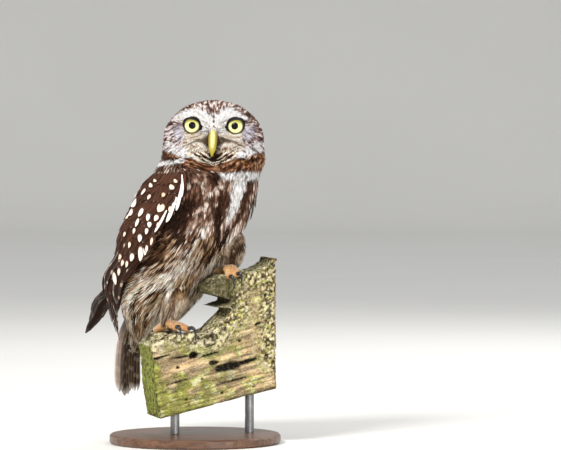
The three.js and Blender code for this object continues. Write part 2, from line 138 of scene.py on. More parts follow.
def flesh(z, angle):
    """The feathered surface of tail root, trunk, neck and head, at a height and an
    angle taken from the face's direction."""
    z, angle = np.broadcast_arrays(np.asarray(z, float), np.asarray(angle, float))
    up = smooth(186, 203, z)
    T, Q = row(TRUNK, np.minimum(z, 198)), row(HEAD, np.maximum(z, 196))
    mix = lambda p, q: p + (q - p) * up
    x0, y0 = mix(BODY_X + T[..., 1] * SH, HEAD_X), mix(-T[..., 1] * CH, HEAD_Y)
    turn, n = mix(H, 0.0), mix(2.05, 2.3)
    a, f, b = mix(T[..., 2], Q[..., 1]), mix(T[..., 3], Q[..., 2]), mix(T[..., 4], Q[..., 3])
    c, s = np.cos(angle + turn), np.sin(angle + turn)
    c, s = np.sign(c) * np.abs(c) ** (2 / n), np.sign(s) * np.abs(s) ** (2 / n)
    fore, side = np.where(c > 0, f, b) * c, a * s
    out = np.where(c > 0, relief(-side, z) * up * smooth(0, 0.45, c), 0)
    l = np.hypot(fore, side) + 1e-9
    fore, side = fore + out * fore / l, side + out * side * 0.4 / l
    return np.stack([x0 + fore * np.sin(turn) - side * np.cos(turn), y0 - fore * np.cos(turn) - side * np.sin(turn), z], -1)


def wing_at(table, z, q, out=0.0):
    """A point of a folded wing's outer side and the direction out of it."""
    z, q = np.broadcast_arrays(np.asarray(z, float), np.asarray(q, float))

    def on(z, q):
        r = row(table, z)
        a, b, c = (1 - q) ** 2, 2 * q * (1 - q), q * q
        return bird(a * r[..., 1] + b * r[..., 5] + c * r[..., 3], a * r[..., 2] + b * r[..., 6] + c * r[..., 4], z)

    p = on(z, q)
    dz, dq = on(np.minimum(z + 0.5, 190), q) - on(np.maximum(z - 0.5, 69), q), on(z, q + 0.01) - on(z, q - 0.01)
    n = unit(np.cross(dz, dq))
    middle = bird(-25, 0, z)
    n = np.where(((p - middle) * n).sum(-1, keepdims=True) < 0, -n, n)
    return p + n * np.asarray(out)[..., None], n


# ------------------------------------------------------------------ numbers at random
def vnoise(p, scale, seed=0):
    """Smooth noise from 0 to 1 at points p."""
    q = np.asarray(p, float) * scale + seed * 17.137
    i = np.floor(q).astype(np.int64)
    f = q - i
    f = f * f * (3 - 2 * f)

    def h(dx, dy, dz):
        n = ((i[..., 0] + dx) * 374761393 + (i[..., 1] + dy) * 668265263 + (i[..., 2] + dz) * 1440662683 + seed * 144665) & 0xFFFFFFFF
        n = ((n ^ (n >> 13)) * 1274126177) & 0xFFFFFFFF
        return ((n ^ (n >> 16)) & 0xFFFF) / 65535.0

    mix = lambda a, b, t: a + (b - a) * t
    x, y, z = f[..., 0], f[..., 1], f[..., 2]
    return mix(mix(mix(h(0, 0, 0), h(1, 0, 0), x), mix(h(0, 1, 0), h(1, 1, 0), x), y),
               mix(mix(h(0, 0, 1), h(1, 0, 1), x), mix(h(0, 1, 1), h(1, 1, 1), x), y), z)


def lin(*rgb):
    c = np.array(rgb, float) / 255
    return np.where(c <= 0.04045, c / 12.92, ((c + 0.055) / 1.055) ** 2.4)


# ------------------------------------------------------------------ palette
WHITE, CREAM, BUFF = lin(246, 240, 234), lin(226, 208, 184), lin(205, 172, 138)
CROWN, CROWN_DARK = lin(122, 92, 80), lin(74, 50, 42)
GREY, GREY_DARK = lin(172, 156, 160), lin(92, 74, 70)
RUFOUS, RUFOUS_DARK = lin(142, 98, 70), lin(72, 42, 26)
STREAK, STREAK_DARK = lin(112, 80, 60), lin(62, 38, 24)
TAN, TAN_DARK = lin(176, 150, 118), lin(118, 90, 62)
WING, WING_DARK, WING_SPOT = lin(79, 50, 37), lin(44, 27, 18), lin(246, 234, 222)
TAILC, TAIL_DARK, TAIL_BAR = lin(118, 100, 90), lin(58, 44, 36), lin(196, 182, 168)
LORE = lin(74, 56, 40)
BLACK = lin(22, 19, 19)


# ------------------------------------------------------------------ meshes
def write_mesh(name, verts, tris, tint=None, uv=None, smooth_faces=True, maps=None, values=None):
    """A mesh object from arrays: verts in mm, tris (m, 3), per-vertex tint (n, 3), per-vertex uv for OFBake, further uv maps and point values by name."""
    me = bpy.data.meshes.new(name)
    verts, tris = np.asarray(verts, np.float32) * np.float32(MM), np.asarray(tris, np.int32)
    me.vertices.add(len(verts))
    me.vertices.foreach_set("co", verts.ravel())
    me.loops.add(len(tris) * 3)
    me.loops.foreach_set("vertex_index", tris.ravel())
    me.polygons.add(len(tris))
    me.polygons.foreach_set("loop_start", np.arange(0, len(tris) * 3, 3, dtype=np.int32))
    me.update(calc_edges=True)
    if smooth_faces:
        me.polygons.foreach_set("use_smooth", np.ones(len(tris), bool))
    if tint is not None:
        a = me.attributes.new("tint", "FLOAT_COLOR", "POINT")
        a.data.foreach_set("color", np.concatenate([np.clip(tint, 0, 1), np.ones((len(verts), 1))], 1).astype(np.float32).ravel())
    for key, value in (values or {}).items():
        value = np.asarray(value, np.float32)
        a = me.attributes.new(key, "FLOAT_VECTOR" if value.ndim == 2 else "FLOAT", "POINT")
        a.data.foreach_set("vector" if value.ndim == 2 else "value", value.ravel())
    for key, value in {**({"OFBake": uv} if uv is not None else {}), **(maps or {})}.items():
        layer = me.uv_layers.new(name=key)
        layer.uv.foreach_set("vector", np.asarray(value, np.float32)[tris.ravel()].ravel())
    o = bpy.data.objects.new(name, me)
    scene.collection.objects.link(o)
    return o


class Coat:
    """Gathers the strips of a coat piece and writes them as one mesh."""

    def __init__(self):
        self.v, self.f, self.c, self.uv, self.off, self.n = [], [], [], [], [], 0

    def strips(self, path, side, nrm, width, thick, tint, root, off):
        """Slender three-sided locks. path, side, nrm, tint (N, R, 3); width, thick (N, R); their place on the unrolled skin root (N, 2), and off (N, R, 2) in the patch there."""
        n, r, _ = path.shape
        w, t = width[..., None] / 2, thick[..., None]
        ring = np.stack([path - side * w - nrm * t * 0.35, path + nrm * t * 0.65, path + side * w - nrm * t * 0.35], 2)
        v = np.concatenate([ring[:, :-1].reshape(n, -1, 3), path[:, -1:]], 1)
        c = np.concatenate([np.repeat(tint[:, :-1], 3, 1), tint[:, -1:]], 1)
        offs = np.concatenate([np.repeat(off[:, :-1], 3, 1), off[:, -1:]], 1)
        faces = [(0, 1, 2)]
        for i in range(r - 2):
            for j in range(3):
                a, b = 3 * i + j, 3 * i + (j + 1) % 3
                faces += [(a, b + 3, b), (a, a + 3, b + 3)]
        m, tip = 3 * (r - 2), 3 * (r - 1)
        faces += [(m + j, tip, m + (j + 1) % 3) for j in range(3)]
        f = np.array(faces)[None] + (np.arange(n) * (tip + 1))[:, None, None] + self.n
        self.v.append(v.reshape(-1, 3))
        self.c.append(c.reshape(-1, 3))
        self.uv.append(np.repeat(root, tip + 1, 0))
        self.off.append(offs.reshape(-1, 2))
        self.f.append(f.reshape(-1, 3))
        self.n += n * (tip + 1)

    def write(self, name, material, slot):
        v, f, c, uv, off = (np.concatenate(x) for x in (self.v, self.f, self.c, self.uv, self.off))
        lo, hi = uv.min(0), uv.max(0)
        uv = 0.01 + 0.98 * (uv - lo) / np.maximum(hi - lo, 1e-6) + off
        o = write_mesh(name, v, f, c, uv)
        return finish_piece(o, material, slot)


def finish_piece(o, material, slot, *replaced):
    o.data.materials.clear()
    o.data.materials.append(material)
    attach(o, "root")
    if replaced:
        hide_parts(*replaced)
    counts[o.name] = sum(len(p.vertices) - 2 for p in o.data.polygons) if len(o.data.polygons) < 5000 else len(o.data.loops) // 3
    return o


counts = {}

# ------------------------------------------------------------------ the outer surface and what grows on it
NA = 144
LEVELS = np.concatenate([np.linspace(62, 226, 150), 226 + (CROWN_Z - 226) * np.sin(np.linspace(0, np.pi / 2, 36))[1:]])
ANGLES = np.arange(NA) * 2 * np.pi / NA
GRID = flesh(LEVELS[:, None], ANGLES[None, :])
SHELL_V = GRID.reshape(-1, 3)
SHELL_Q = [(i * NA + j, i * NA + (j + 1) % NA, (i + 1) * NA + (j + 1) % NA, (i + 1) * NA + j) for i in range(len(LEVELS) - 1) for j in range(NA)]
SHELL = BVHTree.FromPolygons([tuple(p) for p in SHELL_V], SHELL_Q)
# distance up the body's side, for laying roots out flat
GIRTH = np.linalg.norm(GRID[:, :, :2] - GRID[:, :, :2].mean(1, keepdims=True), axis=-1).mean(1)
RISE = np.concatenate([[0], np.cumsum(np.hypot(np.diff(LEVELS), np.diff(GIRTH)))])


def outward(z, a):
    h = 0.3
    dz = flesh(np.minimum(z + h, CROWN_Z), a) - flesh(np.maximum(z - h, 62), a)
    da = flesh(z, a + 0.01) - flesh(z, a - 0.01)
    return unit(np.cross(dz, da))


def scatter(mask, radius, seed, over=5.0):
    """Roots over the outer surface, no nearer than radius(p): height, angle."""
    g = np.random.default_rng(seed)
    i, j = np.meshgrid(np.arange(len(LEVELS) - 1), np.arange(NA), indexing="ij")
    i, j = i.ravel(), j.ravel()
    a, b = GRID[i, j], GRID[i + 1, j]
    c, d = GRID[i, (j + 1) % NA], GRID[i + 1, (j + 1) % NA]
    area = np.linalg.norm(np.cross(d - a, b - c), axis=-1) / 2
    centre = (a + b + c + d) / 4
    za, aa = (LEVELS[i] + LEVELS[i + 1]) / 2, ANGLES[j] + np.pi / NA
    count = g.poisson(area * mask(centre, za, aa) * over / radius(centre) ** 2)
    i, j = np.repeat(i, count), np.repeat(j, count)
    z = LEVELS[i] + (LEVELS[i + 1] - LEVELS[i]) * g.random(len(i))
    a = ANGLES[j] + g.random(len(j)) * 2 * np.pi / NA
    p = flesh(z, a)
    r = radius(p)
    tree = KDTree(len(p))
    for k, q in enumerate(p):
        tree.insert(q, k)
    tree.balance()
    alive = np.ones(len(p), bool)
    kept = []
    for k in g.permutation(len(p)):
        if alive[k]:
            kept.append(k)
            for _, m, _ in tree.find_range(p[k], r[k]):
                alive[m] = False
    kept = np.array(kept)
    return z[kept], a[kept]


BILL_ROOT = np.array([13.4, -39.0, 217.5])


def flow(p, n):
    """The way the coat lies at p: away from the bill over the head, out from the eyes on the disc, and back down the body."""
    s, t, z = to_bird(p)
    behind = smooth(-16, 10, p[..., 1])[..., None]
    head = unit(p - BILL_ROOT) * (1 - behind) + behind * np.array([0, 0.45, -1.0])
    for e in EYES.values():
        v = (p - e) * np.array([1, 0.3, 1])
        far = np.hypot(v[..., 0], v[..., 2])
        w = bump(far, 4, 8.5) * smooth(-16, -24, p[..., 1])
        head = head + (1.5 * w)[..., None] * unit(v)
    side = smooth(-2, 30, t)
    mirrored = smooth(-14, -34, t)
    side = np.maximum(side, mirrored)
    back = 0.05 + (0.30 + 1.40 * side) * smooth(184, 140, z) * smooth(90, 122, z) + 0.25 * smooth(140, 100, z) + 0.55 * smooth(152, 126, z) * smooth(96, 112, z)
    down = np.stack([-back * SH, back * CH, -np.ones_like(z)], -1)
    ex = p[..., 0] - 13.6 - 8 * smooth(200, 188, z)
    chin = smooth(209, 204.5, z) * smooth(186, 191, z) * np.clip(np.abs(ex) / 2.5, 0, 1) * smooth(36, 24, np.abs(ex)) * smooth(-4, -14, p[..., 1])
    w = smooth(191, 205, z)[..., None]
    f = w * unit(head) + (1 - w) * unit(down)
    f = f * (1 - 0.92 * chin[..., None]) + chin[..., None] * np.stack([-0.88 * np.sign(ex), 0 * z, -0.46 + 0 * z], -1)
    f = f - n * (f * n).sum(-1, keepdims=True)
    return unit(f)


def lay(p, n, length, depth, lift, way=None, surface=SHELL, field=flow):
    """Centre lines of feathers that root at p and lie along the surface: three points each, the side and the outward direction."""
    f = field(p, n) if way is None else way
    ends = []
    at, dirn = p, f
    for _ in range(2):
        q = at + dirn * (length / 2)[:, None]
        hit = [surface.find_nearest(Vector(x)) for x in q]
        at = np.array([h[0] for h in hit])
        m = np.array([h[1] for h in hit])
        m = np.where(((m * n).sum(-1) < 0)[:, None], -m, m)
        dirn = unit(dirn - m * (dirn * m).sum(-1, keepdims=True))
        ends.append((at, m))
    (c1, n1), (c2, n2) = ends
    c0 = p - n * depth[:, None]
    c1 = c1 - n1 * (depth * 0.25)[:, None]
    c2 = c2 + n2 * lift[:, None]
    nn = unit(n + n1 + n2)
    side = unit(np.cross(nn, c2 - c0))
    return np.stack([c0, c1, c2], 1), side, nn


PROFILE = {3: np.array([0.8, 1.0, 0.0]), 4: np.array([0.75, 1.0, 0.85, 0.0]), 5: np.array([0.7, 0.95, 1.0, 0.8, 0.0]), 6: np.array([0.6, 0.9, 1.0, 0.95, 0.7, 0.0])}


def plumes(coat, centre, side, nn, width, colour, roots, seed, K=7, R=4, patch=0.004, thick=0.28, loose=0.10, fan=1.0, fat=1.5, curl=0.0):
    """Soft feathers: each is K slender locks that leave its shaft and end on its rounded, ragged outline. colour(u, a, g, path) gives (N, K, R, 3)."""
    g = np.random.default_rng(seed)
    N = len(centre)
    a = np.linspace(-1, 1, K)[None, :] + g.normal(0, 0.35 / K, (N, K))
    us = 0.06 + 0.22 * g.random((N, K)) * (1 - np.abs(a) * 0.5)
    ue = 1.0 - 0.28 * np.abs(a) ** 1.7 - loose * g.random((N, K))
    v = np.linspace(0, 1, R)[None, None, :] ** 0.85
    u = us[..., None] + (ue - us)[..., None] * v
    c0, c1, c2 = (centre[:, k][:, None, None, :] for k in range(3))
    U = u[..., None]
    path = c0 * (2 * U * U - 3 * U + 1) + c1 * (4 * U - 4 * U * U) + c2 * (2 * U * U - U)
    W = width[:, None, None]
    lat = a[..., None] * W * (0.22 + 0.78 * np.sin(v * np.pi / 2) ** 0.9) * fan
    lat = lat + curl * W * g.normal(0, 1, (N, K, 1)) * v**2
    rise = -(a[..., None] ** 2) * W * 0.22 * v + g.normal(0, 0.10, (N, K, 1)) * v - 0.05 * np.abs(a[..., None])
    S, M = side[:, None, None, :], nn[:, None, None, :]
    path = path + S * lat[..., None] + M * rise[..., None]
    w = (2 * W / K) * fat * PROFILE[R][None, None, :] * (0.8 + 0.4 * g.random((N, K, 1)))
    th = thick * PROFILE[R][None, None, :] * np.ones_like(w)
    col = colour(u, np.broadcast_to(a[..., None], u.shape), g, path)
    off = patch * np.stack([np.broadcast_to(a[..., None], u.shape) * 0.5, u - 0.5], -1)
    n = N * K
    coat.strips(path.reshape(n, R, 3), np.broadcast_to(S, path.shape).reshape(n, R, 3), np.broadcast_to(M, path.shape).reshape(n, R, 3),
                w.reshape(n, R), th.reshape(n, R), col.reshape(n, R, 3), np.repeat(roots, K, 0), off.reshape(n, R, 2))


def flat_place(z, a, lo, hi):
    """Where a root lies on the body's own skin, unrolled: round it and up it."""
    a = np.mod(a - lo, 2 * np.pi) / (hi - lo)
    return np.stack([a, np.interp(z, LEVELS, RISE) / RISE[-1]], -1)

# ------------------------------------------------------------------ markings
# name: main colour, mark, tip, the mark's half width across a feather, where it starts and ends along it, the share of feathers with it and the share of tips
Z = [
    ("mantle", lin(98, 68, 54), lin(240, 226, 214), WING_DARK, 0.5, 0.55, 0.88, 0.34, 0.6),
    ("nape", lin(108, 76, 62), lin(238, 218, 204), CROWN_DARK, 0.42, 0.5, 0.9, 0.55, 0.6),
    ("side", lin(112, 84, 68), lin(224, 206, 190), WING_DARK, 0.4, 0.4, 0.95, 0.5, 0.5),
]
ZI = {z[0]: k for k, z in enumerate(Z)}
ZA, ZB, ZC = (np.array([z[k] for z in Z]) for k in (1, 2, 3))
ZW, ZU0, ZU1, ZP, ZT = (np.array([z[k] for z in Z], float) for k in range(4, 9))


def brow_top(e):
    return np.interp(e, [-32, -27, -22, -16, -10, -6, -2, 0, 3, 6, 10, 15, 20, 25, 30], [225, 228.4, 231.2, 233.4, 234.6, 233.2, 229.6, 228.6, 230.6, 233.4, 234.8, 233.0, 229.6, 226.0, 222.5])


def zones(p):
    """Which sort of feather of the back grows at a place."""
    s, t, z = to_bird(p)
    c = row(TRUNK, np.minimum(z, 198))[..., 1]
    round_ = np.abs(np.degrees(np.arctan2(t, s - c)))
    k = np.full(z.shape, ZI["mantle"])
    k[z > 183] = ZI["nape"]
    k[round_ < 116] = ZI["side"]
    return k



def stream_map():
    """For every place on the trunk, the angle at which the line of feathers through it crosses the neck: streaks follow it."""
    out = np.zeros(GRID.shape[:2])
    out[-1] = ANGLES
    top = np.searchsorted(LEVELS, 200)
    out[top:] = ANGLES
    for i in range(top - 1, -1, -1):
        p = flesh(LEVELS[i], ANGLES)
        n = outward(np.full(NA, LEVELS[i]), ANGLES)
        f = flow(p, n)
        pz = (flesh(np.full(NA, LEVELS[i] + 0.2), ANGLES) - flesh(np.full(NA, max(LEVELS[i] - 0.2, 62)), ANGLES)) / (0.4 if LEVELS[i] > 62.2 else 0.2)
        pa = (flesh(LEVELS[i], ANGLES + 0.01) - flesh(LEVELS[i], ANGLES - 0.01)) / 0.02
        fz = np.minimum(f[:, 2], -0.15)
        y = ((f - fz[:, None] * pz) * pa).sum(-1) / (pa * pa).sum(-1)
        slope = np.clip(y / fz, -0.12, 0.12)
        src = ANGLES + slope * (LEVELS[i + 1] - LEVELS[i])
        above = out[i + 1]
        d = np.mod(above - ANGLES + np.pi, 2 * np.pi) - np.pi  # how far it has drifted so far
        out[i] = src + np.interp(np.mod(src, 2 * np.pi), np.append(ANGLES, 2 * np.pi), np.append(d, d[0]))
    return out


STREAM = stream_map()


def stream_at(z, a):
    i = np.clip(np.searchsorted(LEVELS, z) - 1, 0, len(LEVELS) - 2)
    f = np.clip((z - LEVELS[i]) / (LEVELS[i + 1] - LEVELS[i]), 0, 1)
    j = (np.round(np.mod(a, 2 * np.pi) / (2 * np.pi) * NA).astype(int)) % NA
    rest = np.mod(a, 2 * np.pi) - ANGLES[j]
    rest = np.mod(rest + np.pi, 2 * np.pi) - np.pi
    lo, hi = STREAM[i, j], STREAM[i + 1, j]
    return lo + (np.mod(hi - lo + np.pi, 2 * np.pi) - np.pi) * f + rest


# ------------------------------------------------------------------ the markings by place
def ramp(t, stops):
    """Colour by value: stops of (value, r, g, b)."""
    v = np.array([s[0] for s in stops])
    c = np.array([lin(*s[1:]) for s in stops])
    return np.stack([np.interp(t, v, c[:, k]) for k in range(3)], -1)


def over(c, colour, w):
    w = np.clip(w, 0, 1)[..., None]
    return c * (1 - w) + colour * w


def oval(u, v, a, b, lean=0.0, soft=0.3):
    k = math.radians(lean)
    x, y = u * math.cos(k) - v * math.sin(k), u * math.sin(k) + v * math.cos(k)
    return smooth(1 + soft, 1 - soft, np.hypot(x / a, y / b))


def grain(u, v, seed, mixed=0.36):
    """Streaks: u across them and v along them, about 1 apart."""
    q = np.stack([u, v, 0 * u + 0.37 * (seed % 17)], -1)
    s = (1 - mixed) * vnoise(q, 1.0, seed) + mixed * vnoise(q * np.array([2.7, 2.1, 1.0]), 1.0, seed + 1)
    return 0.5 + (s - 0.5) * 1.75


# the breast's, belly's and thighs' own lights and darks: across and up in mm on the side nearest the camera (the other side has them too),
# half breadth, half length, lean, and how much lighter
PATCHES = [
    (-17.5, 146.3, 7.5, 18.0, 30, -0.62), (-29.4, 128.8, 8.5, 10.0, 32, -0.48), (-20.3, 117.6, 5.0, 9.0, 42, 0.22), (-37.1, 111.3, 8.5, 6.0, 55, 0.14),
    (9.1, 158.2, 3.2, 10.5, 8, 0.20), (16.8, 151.9, 1.7, 15.5, 2, -0.40), (0.0, 152.6, 3.0, 5.6, 35, 0.30), (9.1, 126.7, 3.4, 7.8, 20, -0.30),
    (28.7, 133.7, 6.5, 9.5, 38, -0.20), (-11.9, 95.2, 6.0, 8.4, 30, 0.24), (0.7, 102.2, 2.4, 10.0, 48, -0.40), (-8.4, 137.9, 4.8, 6.2, 42, 0.12),
    (-3.5, 110.6, 3.0, 10.0, 38, -0.14), (1.4, 183.4, 2.0, 3.6, 12, 0.30), (8.4, 185.5, 2.3, 5.0, 0, 0.30), (9.8, 176.4, 2.8, 5.8, 0, 0.24),
    (15.4, 177.8, 2.0, 3.6, 0, 0.18), (19.6, 180.0, 2.0, 3.6, 0, 0.16), (-3.5, 166.6, 3.2, 7.5, 22, -0.16), (22.4, 152.0, 2.4, 10.0, 6, 0.10),
    (-26.0, 96.0, 5.0, 9.0, 15, -0.06), (-44.0, 100.0, 3.0, 12.0, 8, 0.10), (-36.0, 84.0, 3.2, 12.0, 4, -0.16), (14.0, 116.0, 2.2, 7.0, 48, 0.12),
]


def paint_trunk(p, X):
    """Breast, belly, flanks and vent: X is how far round, in mm, measured along the lie of the feathers."""
    s, t, z = to_bird(p)
    c0 = row(TRUNK, np.minimum(z, 198))[..., 1]
    round_ = np.abs(np.degrees(np.arctan2(t, s - c0)))
    x = BODY_X + (s - np.abs(t)) * SH
    n = grain(X / 2.5, z / 19.0, 120)
    fine = grain(X / 0.8, z / 11.0, 131)
    # soft pale drops in rows
    i = np.floor(X / 5.4)
    at = lambda k: vnoise(np.stack([i, r, 0 * i + k], -1), 1.0, 140)
    r = 0 * i
    w = z / 10.5 + 0.5 * np.mod(i, 2) + 0.5 * at(2.0)
    r = np.floor(w)
    dx, dz = (X / 5.4 - i - 0.5 - 0.3 * (at(3.0) - 0.5)) * 5.4, (w - r - 0.5 - 0.2 * (at(4.0) - 0.5)) * 10.5
    hw, hl = 1.5 + 0.9 * at(5.0), 3.4 + 2.2 * at(6.0)
    D = smooth(1.22, 0.66, np.hypot(dx / (hw * (1 - 0.16 * np.clip(dz, -4, 4) / 4)), dz / hl) + 0.5 * (fine - 0.5)) * smooth(0.25, 0.55, at(7.0))
    breast = 0.11 + 0.54 * D + 0.24 * (n - 0.5) + 0.16 * (fine - 0.5)
    belly = 0.53 + 1.45 * (n - 0.5) + 0.34 * (fine - 0.5)
    b = smooth(164, 146, z + 0.10 * round_)
    L = breast * (1 - b) + belly * b
    for px, pz, a, h, lean, more in PATCHES:
        k = math.radians(lean)
        u, v = (x - px) * math.cos(k) - (z - pz) * math.sin(k), (x - px) * math.sin(k) + (z - pz) * math.cos(k)
        L = L + more * np.exp(-((u / a) ** 2 + (v / h) ** 2) ** 1.3)
    L = np.clip(L, 0, 1)
    cool = ramp(L, [(0.0, 40, 23, 14), (0.2, 84, 54, 40), (0.38, 130, 96, 78), (0.56, 190, 160, 140), (0.75, 234, 216, 202), (1.0, 255, 250, 246)])
    tan = ramp(L, [(0.0, 38, 22, 11), (0.2, 86, 56, 33), (0.38, 138, 101, 66), (0.56, 198, 163, 122), (0.75, 240, 219, 188), (1.0, 255, 248, 234)])
    hue = np.clip(smooth(0.42, 0.60, vnoise(p, 0.07, 150)) * 0.6 + 0.55 * smooth(150, 118, z) - 0.5 * np.exp(-(((x + 22) / 11) ** 2 + ((z - 118) / 10) ** 2)), 0, 1) * b
    c = over(cool, tan, hue)
    c = over(c, tan * 0.96, smooth(112, 98, z) * 0.8)
    # the white of the middle of the breast
    white = smooth(1.06, 0.84, np.abs(t + 2.6 * (n - 0.5) + 1.2 * (fine - 0.5)) / np.maximum(6.9 - 0.17 * np.maximum(178 - z, 0), 1.5)) * smooth(147, 158, z + 5 * (n - 0.5)) * smooth(186, 182, z) * (round_ < 70)
    c = over(c, ramp(fine, [(0.02, 200, 170, 150), (0.24, 250, 244, 240), (0.5, 255, 255, 255)]), white * smooth(0.16, 0.34, n + 0.6 * smooth(158, 172, z)))
    # the back
    m = ramp(np.clip(0.25 + 0.2 * (n - 0.5) + 0.5 * D * (at(8.0) > 0.55), 0, 1), [(0.0, 52, 34, 26), (0.3, 104, 74, 60), (0.6, 190, 166, 150), (1.0, 244, 234, 224)])
    return over(c, m, smooth(106, 122, round_) * smooth(100, 112, z))


def ruff_top(e):
    return 194.6 + 5.2 * smooth(0, 18, np.abs(e)) + 4.6 * smooth(-20, -34, e) + 3.5 * smooth(22, 31, e)


def ruff_low(e):
    return 189.6 + 0.17 * np.maximum(5 - e, 0) + 0.012 * np.maximum(-e - 12, 0) ** 2


def paint_neck(p, X, c):
    x, y, z = p[..., 0], p[..., 1], p[..., 2]
    e = x - 13.6
    j = vnoise(p, 0.5, 3) - 0.5
    front = smooth(6, -2, y)
    # nape: brown with pale drops, two white marks
    n = grain(X / 1.9, z / 5.5, 160)
    nape = ramp(n, [(0.2, 66, 42, 32), (0.45, 112, 82, 68), (0.62, 196, 170, 154), (0.8, 242, 228, 216)])
    c = over(c, nape, smooth(186, 191, z + 3 * j) * (1 - front))
    mark = smooth(3.4, 2.2, np.abs(z - 199.5 + 2 * j)) * (1 - front) * smooth(2, 6, np.abs(e))
    c = over(c, ramp(n, [(0.2, 190, 166, 150), (0.5, 246, 238, 232), (1, 255, 252, 250)]), mark)
    # ruff: fine rusty and dark lines that run in to the middle of the throat
    ec = e - 8 * smooth(200, 188, z)
    v, u = z - 0.52 * np.abs(ec) + 3.4 * (vnoise(p, 0.16, 172) - 0.5), np.abs(ec) + 0.52 * z
    f = grain(v / 0.72, u / 4.2, 170, 0.45)
    rusty = ramp(f - 0.07 + 0.16 * (vnoise(p, 0.22, 171) - 0.5), [(0.12, 40, 21, 12), (0.36, 98, 58, 36), (0.54, 152, 98, 64), (0.72, 216, 164, 122), (0.92, 250, 224, 196)])
    low = ruff_low(e)
    c = over(c, rusty, front * smooth(-0.5, 0.7, z - low - 1.6 * j))
    band = smooth(183.4, 185.0, z - 2.4 * j) * smooth(190.2, 188.6, z - 2.4 * j - 0.02 * e) * smooth(4.0, 8.5, e + 0.6 * (z - 186)) * smooth(34, 28, e + 2 * j) * smooth(4, -4, y)
    c = over(c, ramp(grain(X / 0.9, z / 5.0, 174), [(0.0, 214, 196, 184), (0.20, 250, 245, 242), (0.4, 255, 255, 255)]), band)
    # the pale line from the ruff down to the wing
    line = z - (195.4 + 0.157 * (e + 38.1))
    c = over(c, ramp(f, [(0.0, 214, 184, 164), (0.2, 250, 244, 240), (0.4, 255, 255, 255)]), smooth(-2.0, -1.3, line + j) * smooth(1.7, 1.0, line + j) * smooth(-18.5, -21.5, e) * smooth(16, 8, y))
    return c


